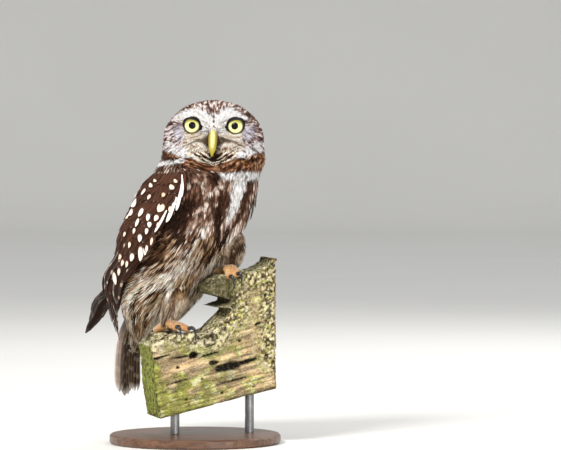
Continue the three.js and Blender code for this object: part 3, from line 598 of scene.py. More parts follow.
def paint_head(p):
    x, y, z = p[..., 0], p[..., 1], p[..., 2]
    e = x - 13.6
    ae = np.abs(e)
    j, j2 = vnoise(p, 0.55, 3) - 0.5, vnoise(p, 0.55, 4) - 0.5
    v = p - BILL_ROOT
    az, far = np.arctan2(v[..., 0], v[..., 2]), np.sqrt((v**2).sum(-1))
    rays = grain(az * 26 / 1.15, far / 3.4, 180, 0.42)
    # behind, the streaks run down the head, not out from the bill
    behind = smooth(-14, 2, y)
    rays = rays * (1 - behind) + behind * (0.55 * grain(e / 1.5 + 0.25 * y, z / 3.4 + 0.3 * y, 183, 0.55) + 0.45 * vnoise(p * np.array([0.42, 0.42, 0.30]), 1.0, 184))
    # crown
    r = rays + 0.02 * smooth(238, 230, z) * smooth(0, -20, y) - 0.04 - 0.05 * smooth(-5, 12, y)
    c = ramp(r - 0.11 * smooth(8, 22, ae), [(0.20, 52, 29, 20), (0.38, 104, 67, 52), (0.50, 150, 112, 97), (0.59, 226, 203, 193), (0.74, 255, 248, 244)])
    front = smooth(-8, -15, y)
    # the disc, lines out from each eye
    de = np.hypot(ae - EYE_SPAN / 2, z - EYE_Z)
    fe = np.arctan2(z - EYE_Z, ae - EYE_SPAN / 2)
    spokes = grain(fe * 15 / 0.85 + 40 * (e > 0), de / 3.0, 190, 0.45)
    # painted shade: the disc on the bird's left (e > 0), the side away from the key lamp, is darker
    disc = ramp(spokes - 0.04 - 0.14 * (e > 0) - 0.05 * smooth(20, 28, ae), [(0.14, 66, 38, 30), (0.30, 122, 88, 80), (0.44, 192, 164, 160), (0.60, 238, 222, 220), (0.80, 255, 250, 250)])
    top = brow_top(e)
    c = over(c, disc, front * smooth(0.8, -0.8, z - top - 2 * j) * smooth(203, 206, z))
    blue = oval((ae - 23.6), z - 217.0, 4.4, 5.2, 20, 0.45)
    c = over(c, ramp(spokes, [(0.12, 132, 110, 118), (0.36, 218, 212, 228), (0.7, 248, 246, 255)]), front * blue * 0.85)
    # below the eyes
    warm = ramp(rays, [(0.14, 136, 98, 68), (0.32, 224, 198, 168), (0.5, 254, 241, 222), (0.85, 255, 252, 244)])
    c = over(c, warm, front * smooth(22, 18, ae + 2 * j) * smooth(204, 206, z) * smooth(220, 216.5, z + 2 * j2))
    # white between the eyes and over them
    v_line = ramp(grain(az * 20 / 0.8, far / 5.0, 200, 0.45), [(0.16, 96, 60, 42), (0.30, 196, 168, 150), (0.38, 252, 246, 242), (0.6, 255, 255, 255)])
    c = over(c, v_line, front * smooth(10.4, 8.4, ae + 1.5 * j) * smooth(214, 217.5, z) * smooth(232.8, 230.8, z - 0.10 * ae + 3 * j2))
    brow = smooth(-0.7, 0.7, z - (226.2 - 0.36 * np.maximum(9 - ae, 0) - 0.10 * np.maximum(ae - 20, 0))) * smooth(0.9, -0.9, z - top + 1.2 * (rays - 0.5) * 3) * smooth(28.5, 25.5, ae + 2 * j) * smooth(1.5, 3.5, ae)
    c = over(c, ramp(grain(az * 26 / 0.9, far / 4.0, 204), [(0.0, 214, 184, 168), (0.16, 252, 247, 243), (0.35, 255, 255, 255)]), front * brow)
    # rusty marks on the forehead
    rust = np.zeros(x.shape)
    for a, b, h, k in ((0.1, 228.4, 1.0, 1.5), (0.3, 225.0, 0.9, 1.1), (0.4, 221.6, 0.6, 0.9), (-0.5, 232.4, 0.7, 1.3), (-7.6, 233.6, 0.7, 1.6), (7.2, 234.2, 0.7, 1.6)):
        rust = np.maximum(rust, oval(e - a, z - b, h, k, 0, 0.35))
    for a in (-3.1, 2.9):
        ring = np.hypot((e - a) / 1.35, (z - 231.6) / 1.75)
        rust = np.maximum(rust, smooth(0.5, 0.2, np.abs(ring - 0.78)) * (z < 232.6))
    c = over(c, lin(84, 38, 22), front * rust * 0.92)
    # the dark beside the bill, thinning to the mouth's line
    line = np.interp(ae, [3, 7, 12, 17, 23.5, 27], [210.6, 211.8, 211.6, 209.2, 206.7, 204.6])
    wide = np.interp(ae, [3, 5.5, 8, 14, 22], [4.6, 4.0, 1.8, 0.9, 0.6])
    # under the mouth's line: pale, with whiskers that run in and down under the bill
    w = z - 0.46 * ae - 0.004 * ae**2 + 4.2 * (vnoise(p, 0.13, 211) - 0.5) + 1.6 * (vnoise(p, 0.4, 212) - 0.5)
    whisk = grain(w / 0.95, (ae + 0.5 * z) / 9.0, 210, 0.34)
    pale = ramp(whisk, [(0.12, 116, 84, 58), (0.32, 204, 178, 148), (0.46, 242, 226, 206), (0.7, 255, 250, 242)])
    below = front * smooth(0.0, -1.2, z - line) * smooth(24, 20, ae)
    c = over(c, pale, below)
    deep = ramp(whisk, [(0.20, 24, 11, 6), (0.45, 64, 36, 21), (0.52, 140, 94, 62), (0.59, 250, 226, 196), (0.85, 255, 247, 234)])
    chin = below * smooth(205.4, 202.2, z + 0.04 * ae + 2 * j) * smooth(21, 16, ae)
    c = over(c, deep, chin)
    dark = smooth(1.25, 0.45, np.abs(z - line + 0.5 * j) / wide) * smooth(25, 20, ae)
    c = over(c, ramp(rays, [(0.2, 22, 15, 9), (0.5, 56, 42, 25), (0.8, 112, 88, 56)]), front * dark * np.interp(ae, [3, 8, 15, 24], [0.95, 0.9, 0.7, 0.45]))
    # white cheeks
    for sx, cz in ((-1, 204.0), (1, 203.4)):
        u, q = (sx * e - 25.2) * 0.86 + (z - cz) * 0.51, -(sx * e - 25.2) * 0.51 + (z - cz) * 0.86
        k = smooth(1.12, 0.85, np.hypot(u / 10.4, q / 4.4) + 0.5 * (whisk - 0.5)) * smooth(4, 0, y)
        c = over(c, ramp(spokes, [(0.06, 120, 92, 86), (0.24, 226, 214, 216), (0.42, 255, 253, 255)]), k)
    return c


def paint(p, X):
    """The colour of head and trunk at a place."""
    z, e = p[..., 2], p[..., 0] - 13.6
    j = vnoise(p, 0.5, 5) - 0.5
    c = paint_neck(p, X, paint_trunk(p, X))
    front = smooth(4, -4, p[..., 1])
    edge = ruff_top(e) * front + 204.5 * (1 - front)
    return over(c, paint_head(p), smooth(-0.6, 0.6, z - edge - 1.2 * j))


def place_colour_and_root_shade(p, seed, place, width):
    """The colour function of feathers rooted at p, painted at each lock's own place, with painted shade towards each
    lock's root.
    """
    g0 = np.random.default_rng(seed)
    n = len(p)
    shade = 1 + 0.14 * (vnoise(p, 0.16, 9) - 0.5) + 0.18 * (g0.random(n) - 0.5)
    warm = 1 + 0.04 * (g0.random((n, 3)) - 0.5)

    def colour(u, a, g, path):
        X = (place * 38)[:, None, None] + a * width[:, None, None] * 0.8
        c = paint(path, X)
        lock = 1 + 0.20 * (g.random(u.shape[:2] + (1, 1)) - 0.5)
        # painted shade: each lock darker towards its root, where the feathers over it shade it
        deep = 0.42 + 0.58 * smooth(0.12, 0.66, u)[..., None]
        return c * shade[:, None, None, None] * warm[:, None, None, :] * lock * deep

    return colour


def zone_colour_and_root_shade(k, p, g_seed):
    """The colour function of feathers in zones k, rooted at p: each has its own mark and tip, and painted shade towards
    its root.
    """
    g0 = np.random.default_rng(g_seed)
    n = len(k)
    A, B, C = ZA[k], ZB[k], ZC[k]
    r_mark, r_tip = g0.random(n), g0.random(n)
    shade = 1 + 0.20 * (vnoise(p, 0.16, 9) - 0.5) + 0.20 * (g0.random(n) - 0.5)
    warm = 1 + 0.05 * (g0.random((n, 3)) - 0.5)
    w = (ZW[k] * (0.8 + 0.4 * g0.random(n)))[:, None, None]

    def colour(u, a, g, path):
        m = smooth(0.14, -0.04, np.abs(a) - w) * smooth(-0.05, 0.05, u - ZU0[k][:, None, None]) * smooth(0.04, -0.04, u - ZU1[k][:, None, None])
        m = m * (r_mark < ZP[k])[:, None, None]
        e = smooth(0.80, 1.0, u) * (r_tip < ZT[k])[:, None, None] * (1 - m)
        c = A[:, None, None] * (1 - m[..., None]) + B[:, None, None] * m[..., None]
        c = c * (1 - e[..., None]) + C[:, None, None] * e[..., None]
        lock = 1 + 0.22 * (g.random(u.shape[:2] + (1, 1)) - 0.5)
        # painted shade: each lock darker towards its root, where the feathers over it shade it
        deep = 0.52 + 0.48 * smooth(0.15, 0.75, u)[..., None]
        return c * shade[:, None, None, None] * warm[:, None, None, :] * lock * deep

    return colour


def coat_piece(name, slot, mask, radius, length, width, depth, lift, seed, K=7, R=4, thick=0.28, loose=0.10, fat=1.5, curl=0.0, span=None, fan=1.0, way=None, patch=0.004, turn_=0.10, by_place=True):
    z, a = scatter(mask, radius, seed)
    p, n = flesh(z, a), outward(z, a)
    g = np.random.default_rng(seed + 100)
    L = length(p) * (0.85 + 0.3 * g.random(len(p)))
    centre, side, nn = lay(p, n, L, depth(p), lift(p) + 0.25 * g.normal(0, 1, len(p)) * (depth(p) > 2), way=None if way is None else way(p, n))
    # each is turned a little about its root
    turn = g.normal(0, turn_, len(p))[:, None]
    centre[:, 2] += side * turn * L[:, None] * 0.5
    centre[:, 1] += side * turn * L[:, None] * 0.2
    seen = centre[:, 1] * 0.5 + centre[:, 2] * 0.5  # the part of it that shows
    lo, hi = span or (0, 2 * np.pi)
    roots = flat_place(z, a, lo, hi)
    coat = Coat()
    W = width(p)
    plumes(coat, centre, side, nn, W, place_colour_and_root_shade(p, seed + 7, stream_at(z, a), W) if by_place else zone_colour_and_root_shade(zones(seen), p, seed + 7), roots, seed + 9, K=K, R=R, thick=thick, loose=loose, fat=fat, curl=curl, fan=fan, patch=patch)
    o = coat.write(name, MAT["plume"], slot)
    print(name, len(p), "feathers", counts[o.name], "triangles")
    return o


# ------------------------------------------------------------------ materials
class Nodes:
    """A short way to lay out a node material."""

    def __init__(self, name):
        self.m = bpy.data.materials.new(name)
        self.m.use_nodes = True
        self.t = self.m.node_tree
        self.t.nodes.clear()
        self.out = self.t.nodes.new("ShaderNodeOutputMaterial")
        self.b = self.t.nodes.new("ShaderNodeBsdfPrincipled")
        self.t.links.new(self.b.outputs[0], self.out.inputs[0])

    def n(self, kind, **kw):
        node = self.t.nodes.new("ShaderNode" + kind)
        for k, v in kw.items():
            setattr(node, k, v)
        return node

    def put(self, socket, value):
        if hasattr(value, "is_output") or isinstance(value, bpy.types.NodeSocket):
            self.t.links.new(value, socket)
        elif socket.type == "RGBA" and np.ndim(value):
            socket.default_value = (*[float(x) for x in value], 1.0)[:4]
        elif socket.type == "VECTOR" and np.ndim(value):
            socket.default_value = [float(x) for x in value]
        else:
            socket.default_value = float(value)

    def attr(self, name):
        return self.n("Attribute", attribute_name=name, attribute_type="GEOMETRY")

    def uv(self, name):
        return self.n("UVMap", uv_map=name).outputs[0]

    def place(self):
        return self.n("TexCoord").outputs["Object"]

    def math(self, op, a, b=0.0, c=None, clamp=False):
        m = self.n("Math", operation=op, use_clamp=clamp)
        self.put(m.inputs[0], a)
        self.put(m.inputs[1], b)
        if c is not None:
            self.put(m.inputs[2], c)
        return m.outputs[0]

    def noise(self, vec, scale, detail=3, rough=0.55, distort=0.0):
        m = self.n("TexNoise")
        self.put(m.inputs["Vector"], vec)
        self.put(m.inputs["Scale"], scale)
        self.put(m.inputs["Detail"], detail)
        self.put(m.inputs["Roughness"], rough)
        self.put(m.inputs["Distortion"], distort)
        return m.outputs["Fac"]

    def stretch(self, vec, scale, turn=(0, 0, 0)):
        m = self.n("Mapping")
        self.put(m.inputs["Vector"], vec)
        self.put(m.inputs["Scale"], scale)
        self.put(m.inputs["Rotation"], turn)
        return m.outputs[0]

    def range(self, x, a, b, lo=0.0, hi=1.0, kind="SMOOTHSTEP"):
        m = self.n("MapRange", interpolation_type=kind)
        for s, v in zip(m.inputs[:5], (x, a, b, lo, hi)):
            self.put(s, v)
        return m.outputs[0]

    def mix(self, fac, a, b, blend="MIX"):
        m = self.n("Mix", data_type="RGBA", blend_type=blend)
        self.put(m.inputs[0], fac)
        self.put(m.inputs[6], a)
        self.put(m.inputs[7], b)
        return m.outputs[2]

    def bump(self, height, strength, distance=0.0005):
        m = self.n("Bump")
        self.put(m.inputs["Strength"], strength)
        self.put(m.inputs["Distance"], distance)
        self.put(m.inputs["Height"], height)
        return m.outputs[0]

    def done(self, colour, rough, normal=None, **sockets):
        self.put(self.b.inputs["Base Color"], colour)
        self.put(self.b.inputs["Roughness"], rough)
        if normal is not None:
            self.put(self.b.inputs["Normal"], normal)
        for k, v in sockets.items():
            self.put(self.b.inputs[k.replace("_", " ")], v)
        return self.m


def plume_material():
    g = Nodes("plume")
    fine = g.noise(g.place(), 900, 3, 0.6)
    c = g.mix(g.range(fine, 0.3, 0.7, 0.0, 0.22), g.attr("tint").outputs["Color"], (0.05, 0.03, 0.02))
    return g.done(c, g.range(fine, 0.3, 0.7, 0.62, 0.82), Specular_IOR_Level=0.08)


def skin_material():
    g = Nodes("skin")
    p = g.place()
    fine, coarse = g.noise(p, 1400, 4, 0.65), g.noise(p, 260, 3, 0.6)
    c = g.mix(g.range(fine, 0.35, 0.7, 0.0, 0.35), g.attr("tint").outputs["Color"], (0.03, 0.018, 0.012))
    v = g.n("TexVoronoi", feature="DISTANCE_TO_EDGE")
    g.put(v.inputs["Vector"], p)
    g.put(v.inputs["Scale"], 1500)
    bare = g.attr("bare").outputs["Fac"]
    scales = g.math("MULTIPLY", g.range(v.outputs["Distance"], 0.0, 0.16), bare)
    h = g.math("ADD", g.math("MULTIPLY", scales, 0.9), g.math("MULTIPLY", coarse, 0.6))
    c = g.mix(g.math("MULTIPLY", g.math("SUBTRACT", 1.0, g.range(v.outputs["Distance"], 0.0, 0.12)), g.math("MULTIPLY", bare, 0.45)), c, (0.09, 0.045, 0.02))
    return g.done(c, g.range(fine, 0.3, 0.7, 0.5, 0.75), g.bump(h, 0.5, 0.0004), Specular_IOR_Level=0.2)


def vane_material(name, barred):
    """Feathers with a shaft and barbs: uv map 'vane' runs across and along; 'spot' and 'spot_size' give the place and the size of a pale spot."""
    g = Nodes(name)
    uv = g.uv("vane")
    s = g.n("SeparateXYZ")
    g.put(s.inputs[0], uv)
    a, u = s.outputs[0], s.outputs[1]
    across = g.math("ABSOLUTE", g.math("SUBTRACT", a, 0.5))
    slant = g.math("SUBTRACT", g.math("MULTIPLY", u, 3.0), g.math("MULTIPLY", across, 1.6))
    rnd = g.attr("chance").outputs["Vector"]
    cv = g.n("CombineXYZ")
    g.put(cv.inputs[0], g.math("MULTIPLY", slant, 26.0))
    g.put(cv.inputs[1], g.math("MULTIPLY", across, 5.0))
    vv = g.n("VectorMath", operation="ADD")
    g.put(vv.inputs[0], cv.outputs[0])
    sc = g.n("VectorMath", operation="SCALE")
    g.put(sc.inputs[0], rnd)
    g.put(sc.inputs["Scale"], 19.0)
    g.put(vv.inputs[1], sc.outputs[0])
    barbs = g.noise(vv.outputs[0], 1.4, 4, 0.62)
    tint = g.attr("tint").outputs["Color"]
    base = g.mix(g.range(barbs, 0.3, 0.72, 0.0, 0.55), tint, (0.016, 0.009, 0.006))
    worn = g.noise(g.place(), 240, 2, 0.5)
    base = g.mix(g.range(worn, 0.45, 0.75, 0.0, 0.4), base, g.mix(0.55, base, tint, "ADD"))
    wob = g.math("MULTIPLY", g.math("SUBTRACT", barbs, 0.5), 0.35)
    spot, size = g.n("SeparateXYZ"), g.n("SeparateXYZ")
    g.put(spot.inputs[0], g.attr("spot").outputs["Vector"])
    g.put(size.inputs[0], g.attr("spot_size").outputs["Vector"])
    if barred:
        # a row of spots or bars along both webs
        f = g.math("SUBTRACT", g.math("FRACT", g.math("ADD", g.math("MULTIPLY", u, spot.outputs[0]), spot.outputs[2])), 0.5)
        du = g.math("DIVIDE", f, size.outputs[0])
        da = g.math("DIVIDE", g.math("SUBTRACT", across, spot.outputs[1]), size.outputs[1])
    else:
        du = g.math("DIVIDE", g.math("SUBTRACT", u, spot.outputs[0]), size.outputs[0])
        da = g.math("DIVIDE", g.math("SUBTRACT", a, spot.outputs[1]), size.outputs[1])
    r = g.math("SQRT", g.math("ADD", g.math("MULTIPLY", du, du), g.math("MULTIPLY", da, da)))
    m = g.range(g.math("ADD", r, wob), 1.06, 0.74)
    m = g.math("MULTIPLY", m, size.outputs[2])
    pale = g.mix(g.attr("warm").outputs["Fac"], WING_SPOT, lin(222, 164, 112))
    pale = g.mix(g.range(barbs, 0.35, 0.75, 0.0, 0.16), pale, (0.42, 0.32, 0.25))
    c = g.mix(m, base, pale)
    edge = g.attr("edge").outputs["Vector"]  # how pale the left edge, the right edge and the tip are
    ed = g.n("SeparateXYZ")
    g.put(ed.inputs[0], edge)
    rim = g.math("MAXIMUM", g.math("MULTIPLY", g.range(a, 0.34, 0.02), ed.outputs[0]), g.math("MULTIPLY", g.range(a, 0.66, 0.98), ed.outputs[1]))
    rim = g.math("MAXIMUM", rim, g.math("MULTIPLY", g.range(u, 0.90, 0.99), ed.outputs[2]))
    c = g.mix(g.math("MULTIPLY", rim, g.range(barbs, 0.2, 0.5, 0.72, 1.0)), c, WHITE)
    shaft = g.math("MULTIPLY", g.range(across, 0.035, 0.012), g.range(u, 0.95, 0.7))
    c = g.mix(g.math("MULTIPLY", shaft, 0.4), c, (0.012, 0.007, 0.005))
    h = g.math("ADD", g.math("MULTIPLY", barbs, 0.8), shaft)
    return g.done(c, g.range(barbs, 0.3, 0.7, 0.60, 0.80), g.bump(h, 0.45, 0.0003), Specular_IOR_Level=0.05)


def eye_material():
    g = Nodes("iris")
    s = g.n("SeparateXYZ")
    g.put(s.inputs[0], g.attr("gaze").outputs["Vector"])
    x, z, r = s.outputs[0], s.outputs[1], s.outputs[2]
    ang = g.math("ARCTAN2", z, x)
    cv = g.n("CombineXYZ")
    g.put(cv.inputs[0], g.math("MULTIPLY", ang, 7.0))
    g.put(cv.inputs[1], g.math("MULTIPLY", r, 0.7))
    g.put(cv.inputs[2], g.math("COSINE", ang))
    fib = g.noise(cv.outputs[0], 2.2, 4, 0.6)
    # painted light and shade: the iris paler towards the bottom and darker towards the top, under the lid
    yellow = g.mix(g.range(z, -1.5, 4.2), lin(238, 238, 180), lin(118, 114, 50))
    yellow = g.mix(g.range(fib, 0.35, 0.7, 0.0, 0.38), yellow, lin(186, 180, 92))
    ring = g.math("MULTIPLY", g.range(r, 3.5, 2.6), 0.45)
    yellow = g.mix(ring, yellow, lin(214, 206, 96))
    limb = g.range(r, 4.3, 5.2)
    yellow = g.mix(limb, yellow, lin(88, 84, 36))
    wob = g.math("MULTIPLY", g.math("SUBTRACT", fib, 0.5), 0.25)
    c = g.mix(g.range(g.math("ADD", r, wob), 2.62, 2.42), yellow, (0.004, 0.004, 0.005))
    c = g.mix(g.range(r, 5.15, 5.45), c, (0.006, 0.005, 0.004))
    return g.done(c, g.range(fib, 0.0, 1.0, 0.20, 0.30), Specular_IOR_Level=0.05, Coat_Weight=0.22, Coat_Roughness=0.03, Coat_IOR=1.36)


def bill_material():
    g = Nodes("bill")
    p = g.place()
    s = g.n("SeparateXYZ")
    g.put(s.inputs[0], g.attr("along").outputs["Vector"])
    u, v = s.outputs[0], s.outputs[1]
    n1, n2 = g.noise(p, 420, 4, 0.6), g.noise(g.stretch(p, (3.0, 1.0, 0.6)), 900, 3, 0.6)
    c = g.mix(g.range(u, 0.0, 0.55), lin(112, 110, 62), lin(170, 156, 54))
    # painted highlight: paler down the front of the bill, where it faces forward
    c = g.mix(g.range(v, 0.66, 1.0, 0.0, 0.8), c, lin(214, 206, 148))
    rim = g.math("ABSOLUTE", s.outputs[2])
    # painted shade: darker towards the sides
    c = g.mix(g.range(rim, 1.5, 3.1, 0.0, 0.75), c, lin(104, 92, 36))
    c = g.mix(g.range(n1, 0.4, 0.75, 0.0, 0.6), c, lin(160, 140, 54))
    # painted shade: darker where it faces back and down
    c = g.mix(g.range(v, 0.30, -0.6, 0.0, 0.5), c, lin(140, 124, 52))
    return g.done(c, g.range(n2, 0.3, 0.7, 0.30, 0.46), g.bump(n2, 0.16, 0.0003), Specular_IOR_Level=0.5)


def claw_material():
    g = Nodes("claw")
    p = g.place()
    s = g.n("SeparateXYZ")
    g.put(s.inputs[0], g.attr("along").outputs["Vector"])
    n1 = g.noise(g.stretch(p, (1, 1, 3)), 700, 3, 0.6)
    c = g.mix(g.range(s.outputs[0], 0.05, 0.7), lin(66, 60, 62), lin(15, 13, 16))
    c = g.mix(g.range(n1, 0.4, 0.75, 0.0, 0.5), c, lin(34, 31, 36))
    return g.done(c, g.range(n1, 0.3, 0.7, 0.20, 0.34), g.bump(n1, 0.12, 0.0002), Specular_IOR_Level=0.55)


def timber_material():
    g = Nodes("old_timber")
    p = g.place()
    q = g.stretch(p, (1.0, 1.0, 1.0), (0, math.radians(15), math.radians(-14.5)))
    grain = g.noise(g.stretch(q, (0.16, 1.0, 1.6)), 1500, 5, 0.62, 0.4)
    grit, blot = g.noise(p, 1150, 4, 0.7), g.noise(p, 150, 4, 0.6)
    tint = g.attr("tint").outputs["Color"]
    c = g.mix(g.range(grain, 0.42, 0.68, 0.0, 0.55), tint, g.mix(0.75, tint, (0.035, 0.025, 0.015)))
    c = g.mix(g.range(grit, 0.53, 0.66, 0.0, 0.8), c, (0.03, 0.024, 0.012))
    c = g.mix(g.range(grit, 0.44, 0.32, 0.0, 0.6), c, g.mix(0.6, tint, (0.86, 0.80, 0.62)))
    h = g.math("ADD", g.math("MULTIPLY", grain, 1.0), g.math("MULTIPLY", grit, 0.8))
    return g.done(c, g.range(blot, 0.3, 0.7, 0.78, 0.95), g.bump(h, 0.75, 0.0006), Specular_IOR_Level=0.2)


def wood_material():
    g = Nodes("stand_wood")
    p = g.place()
    grain = g.noise(g.stretch(p, (0.09, 1.0, 1.0)), 420, 5, 0.6, 0.8)
    fine = g.noise(g.stretch(p, (0.05, 1.0, 1.0)), 2200, 3, 0.6)
    c = g.mix(g.range(grain, 0.32, 0.68), lin(112, 76, 50), lin(70, 44, 28))
    c = g.mix(g.range(fine, 0.45, 0.75, 0.0, 0.5), c, lin(44, 28, 18))
    return g.done(c, g.range(fine, 0.3, 0.7, 0.34, 0.50), g.bump(fine, 0.12, 0.0002), Coat_Weight=0.25, Coat_Roughness=0.25)


def steel_material():
    g = Nodes("stand_steel")
    p = g.place()
    fine = g.noise(g.stretch(p, (1.0, 1.0, 0.04)), 2600, 3, 0.6)
    blot = g.noise(p, 90, 3, 0.6)
    c = g.mix(g.range(blot, 0.3, 0.7), lin(150, 150, 150), lin(118, 118, 120))
    return g.done(c, g.range(fine, 0.3, 0.7, 0.28, 0.44), g.bump(fine, 0.10, 0.0001), Metallic=1.0)


def floor_material():
    g = Nodes("floor")
    n1 = g.noise(g.place(), 3.0, 3, 0.5)
    c = g.mix(g.range(n1, 0.3, 0.7), lin(225, 224, 220), lin(223, 222, 218))
    return g.done(c, g.range(n1, 0.3, 0.7, 0.82, 0.9), Specular_IOR_Level=0.1)


MAT = {"plume": plume_material(), "skin": skin_material(), "covert": vane_material("covert", False), "quill": vane_material("quill", True),
       "eye": eye_material(), "bill": bill_material(), "claw": claw_material(), "timber": timber_material(), "wood": wood_material(),
       "steel": steel_material(), "floor": floor_material()}


# ------------------------------------------------------------------ tubes, and the skin
def tube(points, radii, level=None, rings=24, sides=16, sub=True):
    """A closed round-ended tube through points. Returns verts, tris, how far along (0 to 1), how far up (-1 to 1), the centre line and the outward directions."""
    P, Rr = np.asarray(points, float), np.asarray(radii, float)
    if Rr.ndim == 1:
        Rr = np.stack([Rr, Rr], 1)
    k = len(P)
    t = np.linspace(0, k - 1, rings)
    i = np.clip(t.astype(int), 0, k - 2)
    f = (t - i)[:, None]

    def curve(A):
        a, b, c, d = A[np.maximum(i - 1, 0)], A[i], A[i + 1], A[np.minimum(i + 2, k - 1)]
        return 0.5 * (2 * b + (c - a) * f + (2 * a - 5 * b + 4 * c - d) * f**2 + (3 * b - a - 3 * c + d) * f**3)

    C, R = curve(P), np.maximum(curve(Rr), 0.12)
    T = unit(np.gradient(C, axis=0))
    lv = np.array([0, 0, 1.0]) if level is None else np.asarray(level, float)
    S = unit(lv - T * (T @ lv)[:, None]) if level is not None else unit(np.cross(T, np.array([0.0, 0, 1]) + 0.001))
    U = np.cross(S, T)
    U = U * (-1.0 if U[:, 2].sum() < 0 else 1.0)
    # round the ends off
    first, last = C[0] - T[0] * R[0].mean() * 0.55, C[-1] + T[-1] * R[-1].mean() * 0.55
    C = np.concatenate([[C[0] - T[0] * R[0].mean() * 0.35], C, [C[-1] + T[-1] * R[-1].mean() * 0.35]])
    R = np.concatenate([[R[0] * 0.72], R, [R[-1] * 0.72]])
    S, U, T = (np.concatenate([m[:1], m, m[-1:]]) for m in (S, U, T))
    th = np.arange(sides) * 2 * np.pi / sides
    n = S[:, None] * np.cos(th)[None, :, None] / R[:, None, :1] * R[:, None, :1] + U[:, None] * np.sin(th)[None, :, None]
    V = C[:, None] + S[:, None] * (np.cos(th)[None, :] * R[:, :1])[..., None] + U[:, None] * (np.sin(th)[None, :] * R[:, 1:])[..., None]
    m = len(C)
    verts = np.concatenate([V.reshape(-1, 3), [first], [last]])
    along = np.concatenate([np.repeat(np.linspace(0, 1, m), sides), [0, 1]])
    up = np.concatenate([np.tile(np.sin(th), m), [0, 0]])
    tri = []
    for a in range(m - 1):
        for b in range(sides):
            c = (b + 1) % sides
            q = (a * sides + b, a * sides + c, (a + 1) * sides + c, (a + 1) * sides + b)
            tri += [(q[0], q[1], q[2]), (q[0], q[2], q[3])]
    e0, e1 = m * sides, m * sides + 1
    tri += [(e0, (b + 1) % sides, b) for b in range(sides)] + [(e1, (m - 1) * sides + b, (m - 1) * sides + (b + 1) % sides) for b in range(sides)]
    tri = np.array(tri)
    # faces out
    a, b, c = (verts[tri[:, j]] for j in range(3))
    if (np.cross(b - a, c - a) * (a - C.mean(0))).sum() < 0 and np.einsum("ij,ij->", np.cross(a, b), c) < 0:
        tri = tri[:, ::-1]
    elif np.einsum("ij,ij->", np.cross(a - C[0], b - C[0]), c - C[0]) < 0:
        tri = tri[:, ::-1]
    return verts, tri, along, up, C, unit(n)


LEGS = {
    "right": ([(-12.5, 2, 116), (-13.5, -2.5, 104), (-16.5, -5.5, 94), (-18.5, -6.8, 85.5)], [(11, 11), (9.6, 9.6), (7.2, 7.2), (4.8, 4.8)]),
    "left": ([(13, 3, 154), (21.5, 1.5, 141), (23.6, 0.6, 131), (22, -0.4, 125)], [(15, 13), (12.5, 12), (9, 9), (5, 5)]),
}
ANKLE = {"right": np.array([-18.5, -6.8, 83.4]), "left": np.array([22, -0.6, 122.8])}
TOES = {
    "right": [[(-16, -16, 83.6), (-12.6, -23.4, 81.8), (-9.6, -28.2, 80.4), (-8.6, -29.2, 73.8)],
              [(-11, -13.5, 82.4), (-4.4, -21.2, 80.6), (0.8, -26, 79.4), (1.2, -26.6, 72.4)],
              [(-24, -1, 80.6), (-27.6, 4, 78), (-30, 8.6, 76.8), (-31, 10.6, 72.6)],
              [(-18, 0.8, 81.8), (-17.8, 7, 80.2), (-17.8, 12, 79.6), (-17.8, 14.2, 76.2)]],
    "left": [[(23.2, -9.5, 121.6), (24.8, -17.2, 116.9), (27.2, -21.2, 114.8), (28, -20.6, 109.6)],
             [(26.4, -7.5, 122), (29.8, -15.4, 118.6), (33, -19.2, 116.8), (32.4, -19.2, 111)],
             [(17, 2.6, 120.8), (13.2, 5.4, 118.6), (10.4, 8, 117.6), (9.2, 9.6, 114)],
             [(21, 6.5, 121.4), (20, 12, 120), (19.2, 16.6, 119.2), (19, 19, 116)]],
}


def join(parts):
    v, f, n = [], [], 0
    for a, b in parts:
        v.append(a)
        f.append(np.asarray(b) + n)
        n += len(a)
    return np.concatenate(v), np.concatenate(f)


def grid_faces(m, n, around=True):
    i, j = np.meshgrid(np.arange(m - 1), np.arange(n if around else n - 1), indexing="ij")
    i, j = i.ravel(), j.ravel()
    k = (j + 1) % n
    a, b, c, d = i * n + j, i * n + k, (i + 1) * n + k, (i + 1) * n + j
    return np.concatenate([np.stack([a, b, c], 1), np.stack([a, c, d], 1)])


def capped(rings):
    """A closed loft of rings (m, n, 3)."""
    m, n, _ = rings.shape
    v = np.concatenate([rings.reshape(-1, 3), [rings[0].mean(0)], [rings[-1].mean(0)]])
    j = np.arange(n)
    k = (j + 1) % n
    f = np.concatenate([grid_faces(m, n), np.stack([np.full(n, m * n), k, j], 1), np.stack([np.full(n, m * n + 1), (m - 1) * n + j, (m - 1) * n + k], 1)])
    a, b, c = (v[f[:, q]] - v.mean(0) for q in range(3))
    return v, (f if np.einsum("ij,ij->", np.cross(a, b), c) > 0 else f[:, ::-1])


def coat_depth(p):
    """How deep the skin lies under the feathers' surface."""
    z = p[..., 2]
    d = 4.6 - 1.2 * smooth(176, 196, z) - 1.3 * smooth(198, 214, z)
    d = d - 0.5 * smooth(-8, -22, p[..., 1]) * smooth(198, 208, z)
    return np.minimum(d, 0.42 * np.interp(z, LEVELS, GIRTH))


def toe_tube(foot, toe, shrink=0.3, rings=18, sides=14):
    knuckle, end, bend, _ = (np.array(q, float) for q in toe)
    a = ANKLE[foot]
    mid = (a + knuckle) / 2 + [0, 0, 0.5]
    R = np.array([3.7, 3.6, 3.5, 3.2, 2.9]) - shrink
    low = (knuckle + end) / 2 + [0, 0, 0.15]
    return tube([a, mid, knuckle, low, end], np.stack([R, R * 0.92], 1), rings=rings, sides=sides)


